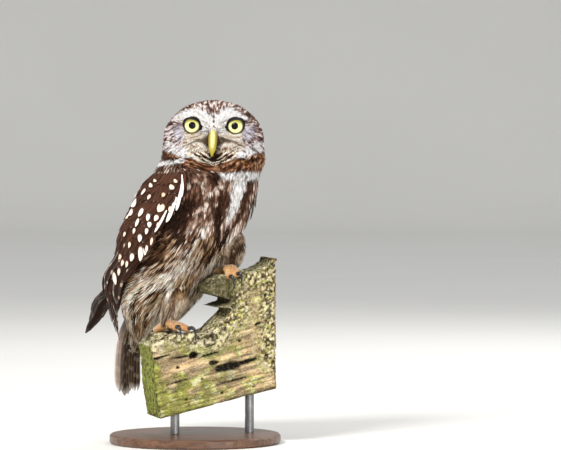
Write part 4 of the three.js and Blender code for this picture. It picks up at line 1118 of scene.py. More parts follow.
def build_skin():
    n = outward(LEVELS[:, None] + 0 * ANGLES, ANGLES[None, :] + 0 * LEVELS[:, None])
    flip = np.sign(((GRID - GRID.mean(1, keepdims=True)) * n)[..., :2].sum())
    inner = GRID - n * flip * coat_depth(GRID)[..., None]
    inner[-1, :] = inner[-1].mean(0) + (inner[-1] - inner[-1].mean(0)) * 0.3
    parts = [capped(inner[2:-1])]
    for table in (NEAR_WING, FAR_WING):
        zs, qs = np.linspace(104, 184, 26)[:, None], np.linspace(0.06, 0.94, 14)[None, :]
        hi = wing_at(table, zs, qs, -3.0 + 0 * qs * zs)[0]
        lo = wing_at(table, zs, qs[:, ::-1], -8.0 + 0 * qs * zs)[0]
        parts.append(capped(np.concatenate([hi, lo], 1)))
    th = np.arange(20) * 2 * np.pi / 20
    zs = np.linspace(66, 100, 12)
    r = row(TAIL, zs)
    ring = bird(r[:, 1, None] + 0.5 + (r[:, 3, None] * 0.8 + 0.2) * np.sin(th), (r[:, 2, None] - 2.5) * np.cos(th), zs[:, None] + 0 * th)
    parts.append(capped(ring))
    for foot in ("right", "left"):
        pts, rad = LEGS[foot]
        parts.append(tube(pts, np.array(rad) - [2.6, 2.6] * np.array([1, 1]) + np.array([[0, 0], [0, 0], [0.6, 0.6], [1.6, 1.6]]), rings=20, sides=20)[:2])
        a = ANKLE[foot]
        parts.append(tube([a + [0, 0, 2.6], a, a - [0, 0, 1.2]], [(4.2, 4.0), (4.5, 4.2), (3.3, 3.1)], rings=8, sides=16)[:2])
        parts += [toe_tube(foot, t)[:2] for t in TOES[foot]]
    v, f = join(parts)
    o = write_mesh("owl_skin", v, f)
    m = o.modifiers.new("one_surface", "REMESH")
    m.mode, m.voxel_size = "VOXEL", 0.85 * MM
    s = o.modifiers.new("settle", "SMOOTH")
    s.factor, s.iterations = 0.5, 4
    return o


def rim_out(c, s):
    """The outer edge of an eye's black rim, c pointing to the bill and s up."""
    return 1 / np.sqrt((c / 5.85) ** 2 + (s / np.where(s > 0, 6.2, 5.55)) ** 2) + 3.0 * np.exp(-((np.arctan2(s, c) + 0.22) / 0.24) ** 2) + 0.55 * np.exp(-((np.arctan2(s, c) - 0.75) / 0.6) ** 2) - 0.25 * np.exp(-((np.arctan2(s, c) + 1.5) / 0.7) ** 2)


def lids():
    """The black rims of both eyes, thicker over the top and drawn out towards the bill."""
    V, F, n0 = [], [], 0
    th = np.linspace(0, 2 * np.pi, 73)[:-1]
    for k, (name, e) in enumerate(EYES.items()):
        inward = 1 if name == "right" else -1  # the bill's side
        c, s = np.cos(th) * inward, np.sin(th)
        rin = np.where(s > 0, ((np.abs(c) / 5.2) ** 3 + (np.abs(s) / 4.15) ** 3) ** (-1 / 3), 1 / np.sqrt((c / 5.2) ** 2 + (s / 5.15) ** 2))
        rout = rim_out(c, s)
        turn = np.arctan2(s, c)
        rin = rin - 0.85 * np.exp(-((turn - 0.80) / 0.50) ** 2) + 0.25 * np.exp(-((turn - 2.2) / 0.5) ** 2)
        rows = []
        for w, lift in ((-0.10, -1.0), (0.0, 0.22), (0.28, 0.62), (0.6, 0.75), (0.9, 0.35), (1.08, -0.6), (1.10, -2.6), (0.0, -2.6)):
            r = rin + (rout - rin) * w
            ball = np.sqrt(np.maximum(EYE_R**2 - np.minimum(r, 7.2) ** 2, 0)) - 0.5 * np.maximum(r - 7.2, 0)
            rows.append(np.stack([e[0] + r * np.cos(th), e[1] - ball - lift, e[2] + r * np.sin(th)], -1))
        R = np.array(rows)
        m, n = R.shape[:2]
        f = grid_faces(m, n)
        close = np.stack([(m - 1) * n + np.arange(n), (m - 1) * n + (np.arange(n) + 1) % n, (np.arange(n) + 1) % n], 1)
        close2 = np.stack([(m - 1) * n + np.arange(n), (np.arange(n) + 1) % n, np.arange(n)], 1)
        V.append(R.reshape(-1, 3))
        F.append(np.concatenate([f, close, close2]) + n0)
        n0 += m * n
    return np.concatenate(V), np.concatenate(F)


def finish_skin(o):
    """Take the joined surface as arrays, seat the eyeballs in it, colour it and add the lids."""
    dg = bpy.context.evaluated_depsgraph_get()
    me = o.evaluated_get(dg).to_mesh()
    me.calc_loop_triangles()
    v = np.empty(len(me.vertices) * 3, np.float32)
    me.vertices.foreach_get("co", v)
    f = np.empty(len(me.loop_triangles) * 3, np.int32)
    me.loop_triangles.foreach_get("vertices", f)
    v, f = v.reshape(-1, 3).astype(float) / MM, f.reshape(-1, 3)
    bpy.data.objects.remove(o, do_unlink=True)
    for e in EYES.values():
        d = np.hypot(v[:, 0] - e[0], v[:, 2] - e[2])
        near = (d < 7.4) & (v[:, 1] < e[1] + 2)
        ball = e[1] - np.sqrt(np.maximum(EYE_R**2 - d**2, 0))
        v[:, 1] = np.where(near, np.maximum(v[:, 1], ball + 0.7 * smooth(7.4, 6.4, d) + 0.15), v[:, 1])
    near_shell = KDTree(len(SHELL_V))
    for i, q in enumerate(SHELL_V):
        near_shell.insert(q, i)
    near_shell.balance()
    at = np.array([near_shell.find(q)[1] for q in v])
    # the coat's markings carried onto the skin beneath, darkened to 0.62 as painted shade deep in the coat
    c = paint(v, stream_at(LEVELS[at // NA], ANGLES[at % NA]) * 38) * 0.62
    s, t, z = to_bird(v)
    # the wings' skin, the legs, and the bare toes
    near_wing = (np.abs(t) > 30) & (z < 190)
    c = np.where(near_wing[:, None], WING_DARK, c)
    bare = np.zeros(len(v))
    tree = KDTree(4 * 2 * 12 + 2 * 10)
    n = 0
    for foot in ("right", "left"):
        for toe in TOES[foot]:
            for q in np.linspace(0, 1, 12):
                a, b, e_ = ANKLE[foot], np.array(toe[0], float), np.array(toe[1], float)
                tree.insert(a + (b - a) * q * 2 if q < 0.5 else b + (e_ - b) * (q * 2 - 1), n)
                n += 1
        for q in np.linspace(0, 1, 10):
            tree.insert(ANKLE[foot] + np.array([0, 0, 3.0]) * q, n)
            n += 1
    tree.balance()
    low = np.where(((z < 92) & (v[:, 0] > -40) & (v[:, 0] < 8) & (v[:, 1] > -40) & (v[:, 1] < 24)) | ((z < 131) & (v[:, 0] > 4) & (v[:, 1] < 26)))[0]
    d = np.array([tree.find(v[i])[2] for i in low])
    w = smooth(7.5, 4.6, d) * smooth(132, 124, z[low])
    bare[low] = w
    tone = vnoise(v[low], 0.5, 31)[:, None]
    toe = lin(232, 184, 112) * (1 - tone) + lin(186, 126, 84) * tone
    c[low] = c[low] * (1 - w[:, None]) + toe * w[:, None]
    leg = np.where(((z < 100) & (z > 82) & (v[:, 1] < 14) & (v[:, 0] > -30) & (v[:, 0] < 0)) & (bare < 0.5))[0]
    c[leg] = lin(178, 156, 128)
    # dark skin round each eye, under its rim
    for e in EYES.values():
        d = np.hypot(v[:, 0] - e[0], v[:, 2] - e[2])
        c = np.where(((d < 5.6) & (v[:, 1] < -20))[:, None], BLACK * 0.4, c)
    lv, lf = lids()
    v2, f2 = join([(v, f), (lv, lf)])
    c2 = np.concatenate([c, np.tile(BLACK * 0.8, (len(lv), 1))])
    b2 = np.concatenate([bare, np.zeros(len(lv))])
    o = write_mesh("owl_skin", v2, f2, c2, values={"bare": b2})
    return finish_piece(o, MAT["skin"], "head_feathers", "head", "neck", "trunk", "leg_right", "leg_left", "foot_right", "foot_left", "wing_right", "wing_left", "tail")


SKIN = finish_skin(build_skin())


# ------------------------------------------------------------------ where each part of the coat grows
def eye_gap(p):
    d = np.ones(p.shape[:-1]) * 99
    for name, e in EYES.items():
        inward = 1 if name == "right" else -1
        x, z = (p[..., 0] - e[0]) * inward, p[..., 2] - e[2]
        ang = np.arctan2(z, x)
        r = np.hypot(x, z) - 1.6 * np.exp(-((ang + 0.22) / 0.35) ** 2) - 0.55 * np.exp(-((ang - 1.57) / 0.8) ** 2)
        d = np.minimum(d, np.where(p[..., 1] < -10, r, 99))
    return d


def under_wing(p, margin=5.0):
    """True where a folded wing lies over the trunk."""
    s, t, z = to_bird(p)
    c = row(TRUNK, np.minimum(z, 198))[..., 1]
    hid = np.zeros(p.shape[:-1], bool)
    for table, sign in ((NEAR_WING, 1), (FAR_WING, -1)):
        r = row(table, z)
        far = np.hypot(s - c, t)
        ang = np.arctan2(t * sign, s - c)
        front = np.arctan2(r[..., 2] * sign, r[..., 1] - c) + margin / np.maximum(far, 4)
        rear = np.arctan2(r[..., 4] * sign, r[..., 3] - c)
        rear = np.where(rear < 0, rear + 2 * np.pi, rear) - margin / np.maximum(far, 4)
        ang = np.where(ang < -0.5, ang + 2 * np.pi, ang)
        hid |= (ang > front) & (ang < rear) & (z > 84) & (z < 187)
    return hid


def is_face(p):
    return (p[..., 1] < -15) & (p[..., 2] > 203) & (p[..., 2] < 236)


def at_bill(p):
    wide = np.interp(p[..., 2], [204, 210, 214, 218, 220.5], [3.4, 3.2, 2.5, 1.6, 0.7])
    return (np.abs(p[..., 0] - 13.4) < wide) & (p[..., 2] < 220.5) & (p[..., 2] > 204) & (p[..., 1] < -20)


f32 = lambda fn: (lambda p, z, a: fn(p).astype(float))
K_ = lambda x: (lambda p: np.full(len(p), float(x)))


def face_radius(p):
    e = eye_gap(p)
    return 0.80 + 0.30 * smooth(8, 20, e)


coat_piece("coat_face", "head_feathers", f32(lambda p: is_face(p) & (eye_gap(p) > 6.15) & ~at_bill(p)), lambda p: 0.84 * face_radius(p),
           lambda p: 2.4 + 2.8 * smooth(7, 16, eye_gap(p)) + 1.2 * bump(p[..., 2], 205, 4), lambda p: 0.60 + 0.40 * smooth(8, 18, eye_gap(p)),
           K_(0.9), K_(0.5), 11, K=3, R=4, thick=0.11, loose=0.25, fat=1.2, curl=0.1)


def eye_fringe():
    """Rows of very short feathers that come out evenly from under each eye's rim."""
    g = np.random.default_rng(301)
    P, N_, W_, UV = [], [], [], []
    for k, (name, e) in enumerate(EYES.items()):
        inward = 1 if name == "right" else -1
        for row_, (off, count) in enumerate(((-0.05, 170), (0.42, 170), (0.92, 170))):
            th = (np.arange(count) + 0.5 * (row_ % 2) + 0.3 * g.random(count)) * 2 * np.pi / count
            r = rim_out(np.cos(th) * inward, np.sin(th)) + off + 0.12 * g.normal(0, 1, count)
            for t_, r_ in zip(th, r):
                hit = SHELL.ray_cast(Vector((e[0] + r_ * math.cos(t_), -90.0, e[2] + r_ * math.sin(t_))), Vector((0, 1, 0)))
                m = np.array(hit[1])
                m = -m if m[1] > 0 else m
                q = np.array(hit[0])
                out = np.array([math.cos(t_), 0.0, math.sin(t_)])
                P.append(q)
                N_.append(m)
                W_.append(unit(out - m * (out @ m) + 0.10 * g.normal(0, 1, 3)))
                UV.append([0.25 + 0.5 * k + 0.026 * r_ * math.cos(t_), 0.5 + 0.026 * r_ * math.sin(t_)])
    p, n, way, roots = np.array(P), np.array(N_), np.array(W_), np.array(UV)
    L = 1.5 * (0.8 + 0.4 * g.random(len(p)))
    centre, side, nn = lay(p, n, L, np.full(len(p), 0.35), np.full(len(p), 0.35), way=way)
    coat = Coat()
    W = np.full(len(p), 0.30)
    plumes(coat, centre, side, nn, W, place_colour_and_root_shade(p, 303, np.zeros(len(p)), W), roots, 304, K=3, R=3, thick=0.10, loose=0.2, fat=1.1, curl=0.08, patch=0.003)
    coat.write("coat_eye_fringe", MAT["plume"], "head_feathers")
    print("coat_eye_fringe", counts["coat_eye_fringe"])


eye_fringe()
coat_piece("coat_crown", "head_feathers", f32(lambda p: ~is_face(p) & (p[..., 2] > 204)), K_(1.6), K_(6.2), K_(1.4), K_(1.5), K_(0.3), 12,
           K=6, R=4, thick=0.13, loose=0.14, fat=1.3)
coat_piece("coat_ruff", "body_feathers", f32(lambda p: (p[..., 2] <= 204) & (p[..., 2] > 186)), K_(1.7), K_(7.5), K_(1.5), K_(2.4), K_(0.5), 13,
           K=7, R=4, thick=0.13, loose=0.25, fat=1.1, curl=0.14)
FRONT = lambda p: to_bird(p)[0] - row(TRUNK, np.minimum(p[..., 2], 198))[..., 1] > -6
coat_piece("coat_breast", "body_feathers", f32(lambda p: (p[..., 2] <= 186) & (p[..., 2] > 150) & ~under_wing(p) & FRONT(p)), K_(3.0), K_(13.5), K_(3.2), K_(3.2), K_(0.7), 14,
           K=13, R=5, thick=0.16, loose=0.18, fat=1.25, curl=0.10, patch=0.006)
coat_piece("coat_belly", "body_feathers", f32(lambda p: (p[..., 2] <= 150) & (p[..., 2] > 64) & ~under_wing(p) & (FRONT(p) | (p[..., 2] < 112))), K_(2.35), lambda p: 15.5 + 5 * smooth(140, 100, p[..., 2]), K_(2.5), K_(3.2), K_(0.9), 15,
           K=9, R=4, thick=0.15, loose=0.3, fat=1.0, curl=0.2)
coat_piece("coat_back", "body_feathers", f32(lambda p: (p[..., 2] <= 186) & (p[..., 2] > 96) & ~under_wing(p, 7) & ~FRONT(p)), K_(3.0), K_(14), K_(3.4), K_(3.0), K_(0.7), 16,
           K=11, R=5, thick=0.28, loose=0.08, fat=1.35, patch=0.006, by_place=False)


# ------------------------------------------------------------------ the legs' and toes' coat
def tube_roots(C, Rr, count, seed, span=(0.0, 1.0)):
    g = np.random.default_rng(seed)
    k = (span[0] + (span[1] - span[0]) * g.random(count)) * (len(C) - 1.001)
    i = k.astype(int)
    f = (k - i)[:, None]
    c = C[i] * (1 - f) + C[i + 1] * f
    T = unit(np.gradient(C, axis=0))[i]
    s = unit(np.cross(T, [0.13, 0.31, 0.94]))
    u = np.cross(s, T)
    th = g.random(count) * 2 * np.pi
    n = s * np.cos(th)[:, None] + u * np.sin(th)[:, None]
    r = np.interp(k, np.arange(len(C)), Rr)
    return c + n * r[:, None], n, T, k / len(C), th


def straight(p, n, way, length, depth, lift, bend=0.25):
    """Centre lines of short feathers laid straight along a way."""
    way = unit(way - n * (way * n).sum(-1, keepdims=True))
    c0 = p - n * depth
    c1 = p + way * length[:, None] * 0.5 + n * (lift * 0.6)
    c2 = p + way * length[:, None] + n * lift - n * (bend * length[:, None]) * 0.2
    return np.stack([c0, c1, c2], 1), unit(np.cross(n, way)), n


def simple_colour_and_root_shade(base, mark, share, seed, dark=0.6):
    g0 = np.random.default_rng(seed)

    def colour(u, a, g, path):
        n = u.shape[0]
        w = (g0.random(n) < share)[:, None, None, None] * smooth(0.2, 0.7, u)[..., None]
        c = base * (1 - w) + mark * w
        # painted shade: each lock darker towards its root, down to the share given by dark
        c = c * (0.85 + 0.3 * g.random(u.shape[:2] + (1, 1))) * (dark + (1 - dark) * smooth(0.0, 0.6, u)[..., None])
        return c * (0.88 + 0.24 * g0.random((n, 1, 1, 1)))

    return colour


def leg_colour_and_root_shade(p, seed, foot):
    """The thighs carry on the belly's streaks and pale towards the feet; each lock has painted shade towards its root.
    """
    g0 = np.random.default_rng(seed)
    n = len(p)
    shade = 0.92 + 0.4 * (g0.random(n) - 0.5)

    def colour(u, a, g, path):
        x, y, z = path[..., 0], path[..., 1], path[..., 2]
        X = (x * 0.9 - y * 0.5) - 0.35 * z
        c = paint_trunk(path, X)
        f = grain(X / 0.9, z / 9.0, 240)
        low = smooth(106, 92, z) if foot == "right" else smooth(133, 125, z)
        c = over(c, ramp(f, [(0.24, 50, 32, 20), (0.44, 112, 84, 58), (0.58, 178, 150, 120), (0.78, 246, 230, 206)]), low * 0.85)
        if foot == "left":
            c = over(c, ramp(f, [(0.2, 40, 24, 15), (0.45, 92, 64, 46), (0.6, 176, 148, 118), (0.8, 236, 214, 188)]), smooth(124, 131, z))
        # painted shade: each lock darker towards its root, where the feathers over it shade it
        deep = 0.5 + 0.5 * smooth(0.1, 0.6, u)[..., None]
        return c * deep * shade[:, None, None, None] * (0.9 + 0.2 * g.random(u.shape[:2] + (1, 1)))

    return colour


leg_coat = Coat()
for k, foot in enumerate(("right", "left")):
    pts, rad = LEGS[foot]
    _, _, _, _, C, _ = tube(pts, rad, rings=40, sides=8)
    C = C[1:-1]
    R = np.interp(np.linspace(0, 1, len(C)), np.linspace(0, 1, 4), np.array(rad)[:, 0])
    n_ = 1150
    p, n, T, u, th = tube_roots(C, R - 0.8, n_, 40 + k, (0.24, 1.0))
    L = 11.5 - 6.0 * u + 2 * np.random.default_rng(60 + k).random(n_)
    centre, side, nn = straight(p, n, T, L, 1.6, 0.3 - 0.4 * u[:, None])
    roots = np.stack([th / (2 * np.pi) * 0.45 + 0.5 * k, u], 1)
    plumes(leg_coat, centre, side, nn, 1.6 - 0.7 * u, leg_colour_and_root_shade(p, 70 + k, foot), roots, 80 + k, K=5, R=4, thick=0.13, loose=0.35, fat=0.7, curl=0.4, patch=0.004)
leg_coat.write("coat_legs", MAT["plume"], "body_feathers")
print("coat_legs", counts["coat_legs"])

toe_coat = Coat()
for k, foot in enumerate(("right", "left")):
    for j, toe in enumerate(TOES[foot]):
        _, _, _, _, C, _ = toe_tube(foot, toe, 0.35, rings=30)
        C = C[1:-1]
        R = np.interp(np.linspace(0, 1, len(C)), np.linspace(0, 1, 5), np.array([3.7, 3.6, 3.5, 3.2, 2.9]) * 0.96 - 0.35)
        n_ = 330
        p, n, T, u, th = tube_roots(C, R, n_, 140 + 10 * k + j, (0.02, 0.93))
        keep = (n[:, 2] > -0.1) & (np.random.default_rng(7 + j).random(n_) > 0.25 * u)
        p, n, T, u, th = p[keep], n[keep], T[keep], u[keep], th[keep]
        g_ = np.random.default_rng(170 + 10 * k + j)
        L = (3.4 - 1.5 * u) * (0.7 + 0.6 * g_.random(len(u)))
        centre, side, nn = straight(p, n, T + 0.25 * g_.normal(0, 1, (len(u), 3)), L, 0.4, 0.35)
        roots = np.stack([th / (2 * np.pi) * 0.22 + 0.25 * j, u * 0.45 + 0.5 * k], 1)
        plumes(toe_coat, centre, side, nn, np.full(len(u), 0.34), simple_colour_and_root_shade(lin(244, 230, 212), lin(206, 158, 112), 0.45, 180 + j, 0.85), roots, 190 + 10 * k + j, K=2, R=3, thick=0.14, loose=0.3, fat=0.8, curl=0.5)
toe_coat.write("coat_toes", MAT["plume"], "body_feathers")

# ------------------------------------------------------------------ bristles round the bill
bristles = Coat()
g_ = np.random.default_rng(77)
n_ = 700
sd = np.where(g_.random(n_) < 0.5, -1.0, 1.0)
q = g_.random(n_)
# rooted in a band from beside the nostrils, over the bill's root, and down to its corners
dx, bz = 0.5 + 0.8 * g_.random(n_) + 3.0 * q, 221.5 - 13.5 * q**1.2 + 1.4 * g_.normal(0, 1, n_)
near_ = [SHELL.find_nearest(Vector((13.4 + a_ * b_, -42.0, c_))) for a_, b_, c_ in zip(sd, dx, bz)]
root = np.array([h[0] for h in near_]) + np.array([0.0, 0.5, 0.0])
way = unit(np.stack([sd * (0.10 + 0.70 * q + 0.25 * g_.normal(0, 1, n_)), -0.42 + 0.16 * g_.normal(0, 1, n_) + 0.2 * q, -0.95 + 0.30 * q + 0.16 * g_.normal(0, 1, n_)], 1))
nrm = unit(np.stack([sd * 0.45, -1.0 + 0 * q, 0.25 + 0 * q], 1))
L = (5.0 - 1.4 * q) * (0.7 + 0.5 * g_.random(n_))
centre, side, nn = straight(root, nrm, way, L, 0.5, 0.5, 0.5)
pale = (g_.random(n_) < 0.55)[:, None] * 1.0


def bristle_dye(u, a, g, path):
    c0 = np.where(q[:, None] < 0.30, lin(246, 238, 230), np.where(q[:, None] < 0.42, lin(170, 150, 124), lin(84, 62, 40)))
    c0 = c0 * (0.55 + 0.45 * pale) + 0 * c0
    return c0[:, None, None, :] * (0.8 + 0.4 * g.random(u.shape[:2] + (1, 1))) + 0 * u[..., None]


plumes(bristles, centre, side, nn, np.full(n_, 0.34), bristle_dye, np.stack([q, 0.5 + sd * 0.4 * g_.random(n_)], 1), 78, K=2, R=4, thick=0.16, loose=0.3, fat=0.8, curl=0.35)
bristles.write("bill_bristles", MAT["plume"], "head_feathers")


# ------------------------------------------------------------------ wings and tail: stiff feathers
class Vanes:
    """Whole feathers with a shaft, each a thin closed blade."""
    TOP = np.array([-1, -0.72, -0.36, 0, 0.36, 0.72, 1.0])
    LOW = np.array([0.75, 0.38, 0, -0.38, -0.75])

    def __init__(self):
        self.rows = []

    def add(self, centre, side, nrm, width, tint, spot, spot_size, warm=0.0, edge=(0, 0, 0), camber=0.16, thick=0.32, key=(0, 0), round_=0.42):
        """centre, side, nrm (R, 3); width (R,) half widths."""
        self.rows.append((centre, side, nrm, width, tint, spot, spot_size, warm, edge, camber, thick, key))

    def write(self, name, material, slot, *replaced):
        g = np.random.default_rng(len(self.rows))
        order = sorted(range(len(self.rows)), key=lambda i: self.rows[i][11])
        cols = int(math.ceil(math.sqrt(len(order) / 1.6)))
        V, F, T, U1, U2, A = [], [], [], [], [], {k: [] for k in ("spot", "spot_size", "warm", "edge", "chance")}
        n0 = 0
        a = np.concatenate([self.TOP, self.LOW])
        for place, i in enumerate(order):
            c, s, n, w, tint, spot, size, warm, edge, camber, th, _ = self.rows[i]
            R = len(c)
            up = np.concatenate([np.zeros(7), np.ones(5)])
            t = th * (1 - 0.85 * np.abs(a) ** 2)
            lift = -camber * w[:, None] * a[None, :] ** 2 - up * t + 0.16 * np.exp(-((a / 0.09) ** 2)) * (1 - up)
            v = c[:, None] + s[:, None] * (a[None, :] * w[:, None])[..., None] + n[:, None] * lift[..., None]
            u = np.linspace(0, 1, R)
            v = v.reshape(-1, 3)
            v = np.concatenate([v, [c[0] - n[0] * th * 0.4], [c[-1] + (c[-1] - c[-2]) * 0.12 - n[-1] * th * 0.3]])
            m = 12
            f = grid_faces(R, m)
            j = np.arange(m)
            k = (j + 1) % m
            f = np.concatenate([f, np.stack([np.full(m, R * m), k, j], 1), np.stack([np.full(m, R * m + 1), (R - 1) * m + j, (R - 1) * m + k], 1)])
            p, q, r = (v[f[:, z]] - v.mean(0) for z in range(3))
            if np.einsum("ij,ij->", np.cross(p, q), r) < 0:
                f = f[:, ::-1]
            aa = np.concatenate([np.tile(a, R), [0, 0]])
            uu = np.concatenate([np.repeat(u, m), [0, 1]])
            bb = np.concatenate([np.tile(up, R), [0, 0]])
            V.append(v)
            F.append(f + n0)
            n0 += len(v)
            one = np.ones(len(v))
            T.append(np.asarray(tint)[None, :] * one[:, None])
            U1.append(np.stack([0.5 + aa * 0.5, uu], 1))
            cx, cy = place % cols, place // cols
            U2.append(np.stack([cx + np.where(bb > 0, 0.90 + 0.05 * (aa + 1) * 0.5 * 0.9, 0.06 + 0.78 * (0.5 + aa * 0.5)), cy + 0.05 + 0.9 * uu], 1))
            for key, value in (("spot", spot), ("spot_size", size), ("edge", edge), ("chance", g.random(3))):
                A[key].append(np.asarray(value, float)[None, :] * one[:, None])
            A["warm"].append(one * warm)
        U2 = np.concatenate(U2)
        U2 = 0.005 + 0.99 * U2 / np.array([cols, math.ceil(len(order) / cols)])
        o = write_mesh(name, np.concatenate(V), np.concatenate(F), np.concatenate(T), U2, maps={"vane": np.concatenate(U1)}, values={k: np.concatenate(v) for k, v in A.items()})
        return finish_piece(o, material, slot, *replaced)


def blade(R=12, tip=0.42, base=0.55, point=2.0):
    """Half widths along a feather, 1 at its widest, with a rounded tip."""
    t = np.linspace(0, 1, R) ** 0.82
    w = (base + (1 - base) * smooth(0, 0.45, t)) * np.clip(1 - np.clip((t - (1 - tip)) / tip, 0, 1) ** point, 0, 1) ** (1 / point)
    w[-1] = max(w[-1], 0.16)
    return t, w


def on_wing(table, z0, q0, z1, q1, W, lift0, lift1, tilt, R=12, tip=0.42, curve=0.0):
    """Centre line, side and outward direction of a feather laid on a wing from root (z0, q0) to tip (z1, q1)."""
    t, w = blade(R, tip)
    z, q = z0 + (z1 - z0) * t, q0 + (q1 - q0) * t + curve * np.sin(np.pi * t)
    lift = lift0 + (lift1 - lift0) * t**0.8
    p, n = wing_at(table, z, q, lift)
    T = unit(np.gradient(p, axis=0))
    s = unit(np.cross(n, T))
    # side runs towards the rear edge
    ahead = wing_at(table, z, np.minimum(q + 0.05, 1.2), lift)[0] - p
    s = s * np.sign((s * ahead).sum(-1, keepdims=True) + 1e-9)
    n2 = unit(n - s * tilt)
    s2 = unit(s + n * tilt)
    return p, s2, n2, w * W


def arc_width(table, z):
    q = np.linspace(0, 1, 12)
    p = wing_at(table, np.full(12, z), q, np.zeros(12))[0]
    return np.linalg.norm(np.diff(p, axis=0), axis=1).sum()


NO_SPOT = ((0.5, 0.5, 0.0), (0.1, 0.1, 0.0))


def wing(name, table, near, seed):
    g = np.random.default_rng(seed)
    cov, fl = Vanes(), Vanes()
    sgn = 1 if near else -1
    zt = table[:, 0].min()
    # flight feathers: tips stepping up from the wing's tip along its rear edge
    tips = [(zt + 1.2, 0.5), (zt + 4.5, 0.36), (zt + 7, 0.66), (zt + 11, 0.26), (zt + 14, 0.80), (zt + 19, 0.14), (zt + 20, 0.55), (zt + 24, 0.88), (zt + 28, 0.06), (zt + 31, 0.70), (zt + 37, 0.93), (zt + 40, 0.35)]
    for i, (z1, q1) in enumerate(tips):
        z0 = min(z1 + 62, 160)
        W = 4.4 if i > 1 else 3.6
        p, s, n, w = on_wing(table, z0, 0.15 + 0.7 * q1, z1, q1, W, -2.2, -0.25 + 0.06 * i, -0.06, R=16, tip=0.24)
        # painted shade on the far wing: its feathers darker, their pale edges and spots fainter
        dark = WING_DARK * (0.85 + 0.5 * g.random()) if near else lin(30, 19, 13) * (0.7 + 0.5 * g.random())
        p = p + n * (0.08 * i)
        fl.add(p, s, n, w, dark, (5.2, 0.40, g.random()), (0.16, 0.13, 0.55 if near else 0.06), 0.35, (0.05, 0.28, 0.12) if near else (0.02, 0.05, 0.03), key=(round(z1 / 20), q1), thick=0.36)
    # rows of coverts and scapulars, the upper over the lower
    z1, r = zt + 26, 0
    while z1 < 184:
        L = 30 - 16 * smooth(110, 178, z1)
        W = 4.0 - 1.5 * smooth(120, 176, z1)
        arc = arc_width(table, z1)
        m = max(3, int(round(arc / (1.42 * W))))
        for j in range(m):
            q1 = (j + 0.5 * (r % 2) + 0.25 + 0.12 * g.normal()) / m
            if q1 > 1.02:
                continue
            zz = z1 + 1.3 * g.normal()
            p, s, n, w = on_wing(table, min(zz + L * 0.93, 189.5), 0.5 + (q1 - 0.5) * 0.97, zz, q1, W * (0.92 + 0.16 * g.random()), -2.0, 0.35 + 0.12 * (g.random()), -0.10, R=10, tip=0.5)
            tone = WING * (0.72 + 0.45 * g.random()) * (1 - 0.28 * smooth(140, 105, zz))
            # painted shade: darker along the front edge near the shoulder
            tone = tone * (1 - 0.35 * smooth(0.30, 0.10, q1) * smooth(178, 168, zz)) + 0 * tone
            # painted shade on the far wing, deeper towards its lower end
            if not near:
                tone = tone * (0.8 - 0.45 * smooth(120, 100, zz))
            show = (not near) or q1 > 0.74
            spotted = show and g.random() < (0.62 if zz < 172 else 0.35)
            spot, size = ((0.80, 0.5 + 0.12 * g.normal(), 0.0), (0.10 + 0.05 * g.random(), 0.20 + 0.08 * g.random(), 1.0)) if spotted else NO_SPOT
            cov.add(p, s, n, w, tone, spot, size, 0.15 * g.random(), (0, 0.03, 0.10 * g.random()), key=(round(z1 / 9), q1), thick=0.3)
        z1 += 6.6 + 3.0 * smooth(160, 110, z1)
        r += 1
    if near:
        photo_spots(table, cov, g)
    cov.write("coverts_" + name, MAT["covert"], "wing_feathers")
    fl.write("flight_" + name, MAT["quill"], "wing_feathers")
    print(name, counts["coverts_" + name], counts["flight_" + name])


# the larger pale spots on the wing nearest the camera: across and down the camera's picture, breadth and length, how buff they are, and their lean
SPOTS = [
    (145.2, 191, 3.6, 7.6, 0.1, 14), (135.6, 202.5, 6.2, 9.0, 0.05, 30), (132.6, 211.5, 4.2, 7.2, 0.15, 30), (137, 194, 3.4, 6.0, 0.15, 30),
    (142.8, 211.5, 4.2, 10.5, 0.1, 20), (139.3, 221.5, 3.0, 10.5, 0.1, 10), (150.3, 215.8, 4.2, 8.6, 0.05, 4), (151.4, 222.4, 4.6, 6.0, 0.05, 0),
    (148.6, 229.0, 3.4, 6.5, 0.1, 8), (158.4, 215.8, 4.6, 6.0, 0.2, 22), (163.0, 206.5, 7.6, 9.6, 0.42, 28), (172.6, 207.5, 5.4, 6.8, 0.45, 14),
    (166, 193, 4.0, 4.2, 0.75, 18), (174.6, 185.4, 6.2, 4.0, 0.40, 30), (178.3, 178.4, 5.0, 3.6, 0.45, 30), (153.2, 184, 5.0, 3.4, 0.3, 32),
    (151.6, 195.5, 3.4, 5.6, 0.35, 12), (158.0, 178.4, 4.0, 3.6, 0.3, 30), (141.6, 236.5, 4.2, 8.8, 0.0, 6), (136.4, 229, 2.8, 6.0, 0.1, 6),
    (142.0, 252.6, 5.2, 17.5, 0.05, 5), (148.6, 249.6, 3.6, 10.0, 0.15, 4), (152.6, 247.0, 2.6, 8.6, 0.2, 6), (157.2, 239.6, 2.4, 9.0, 0.3, 12),
    (131.0, 243.0, 2.6, 6.4, 0.2, 8), (133.4, 256.0, 4.0, 9.6, 0.1, 8), (121.4, 255.5, 2.8, 5.6, 0.4, 10), (123.6, 261.5, 2.8, 6.4, 0.4, 8),
    (114.4, 278.0, 4.6, 16.5, 0.05, 2), (119.6, 271.0, 2.8, 8.6, 0.25, 8), (128.0, 262.6, 2.6, 7.0, 0.25, 6), (126.6, 232.5, 2.6, 5.0, 0.3, 10),
    (129.2, 215.6, 2.8, 4.6, 0.3, 24), (160.5, 222.0, 2.2, 4.4, 0.5, 20),
]


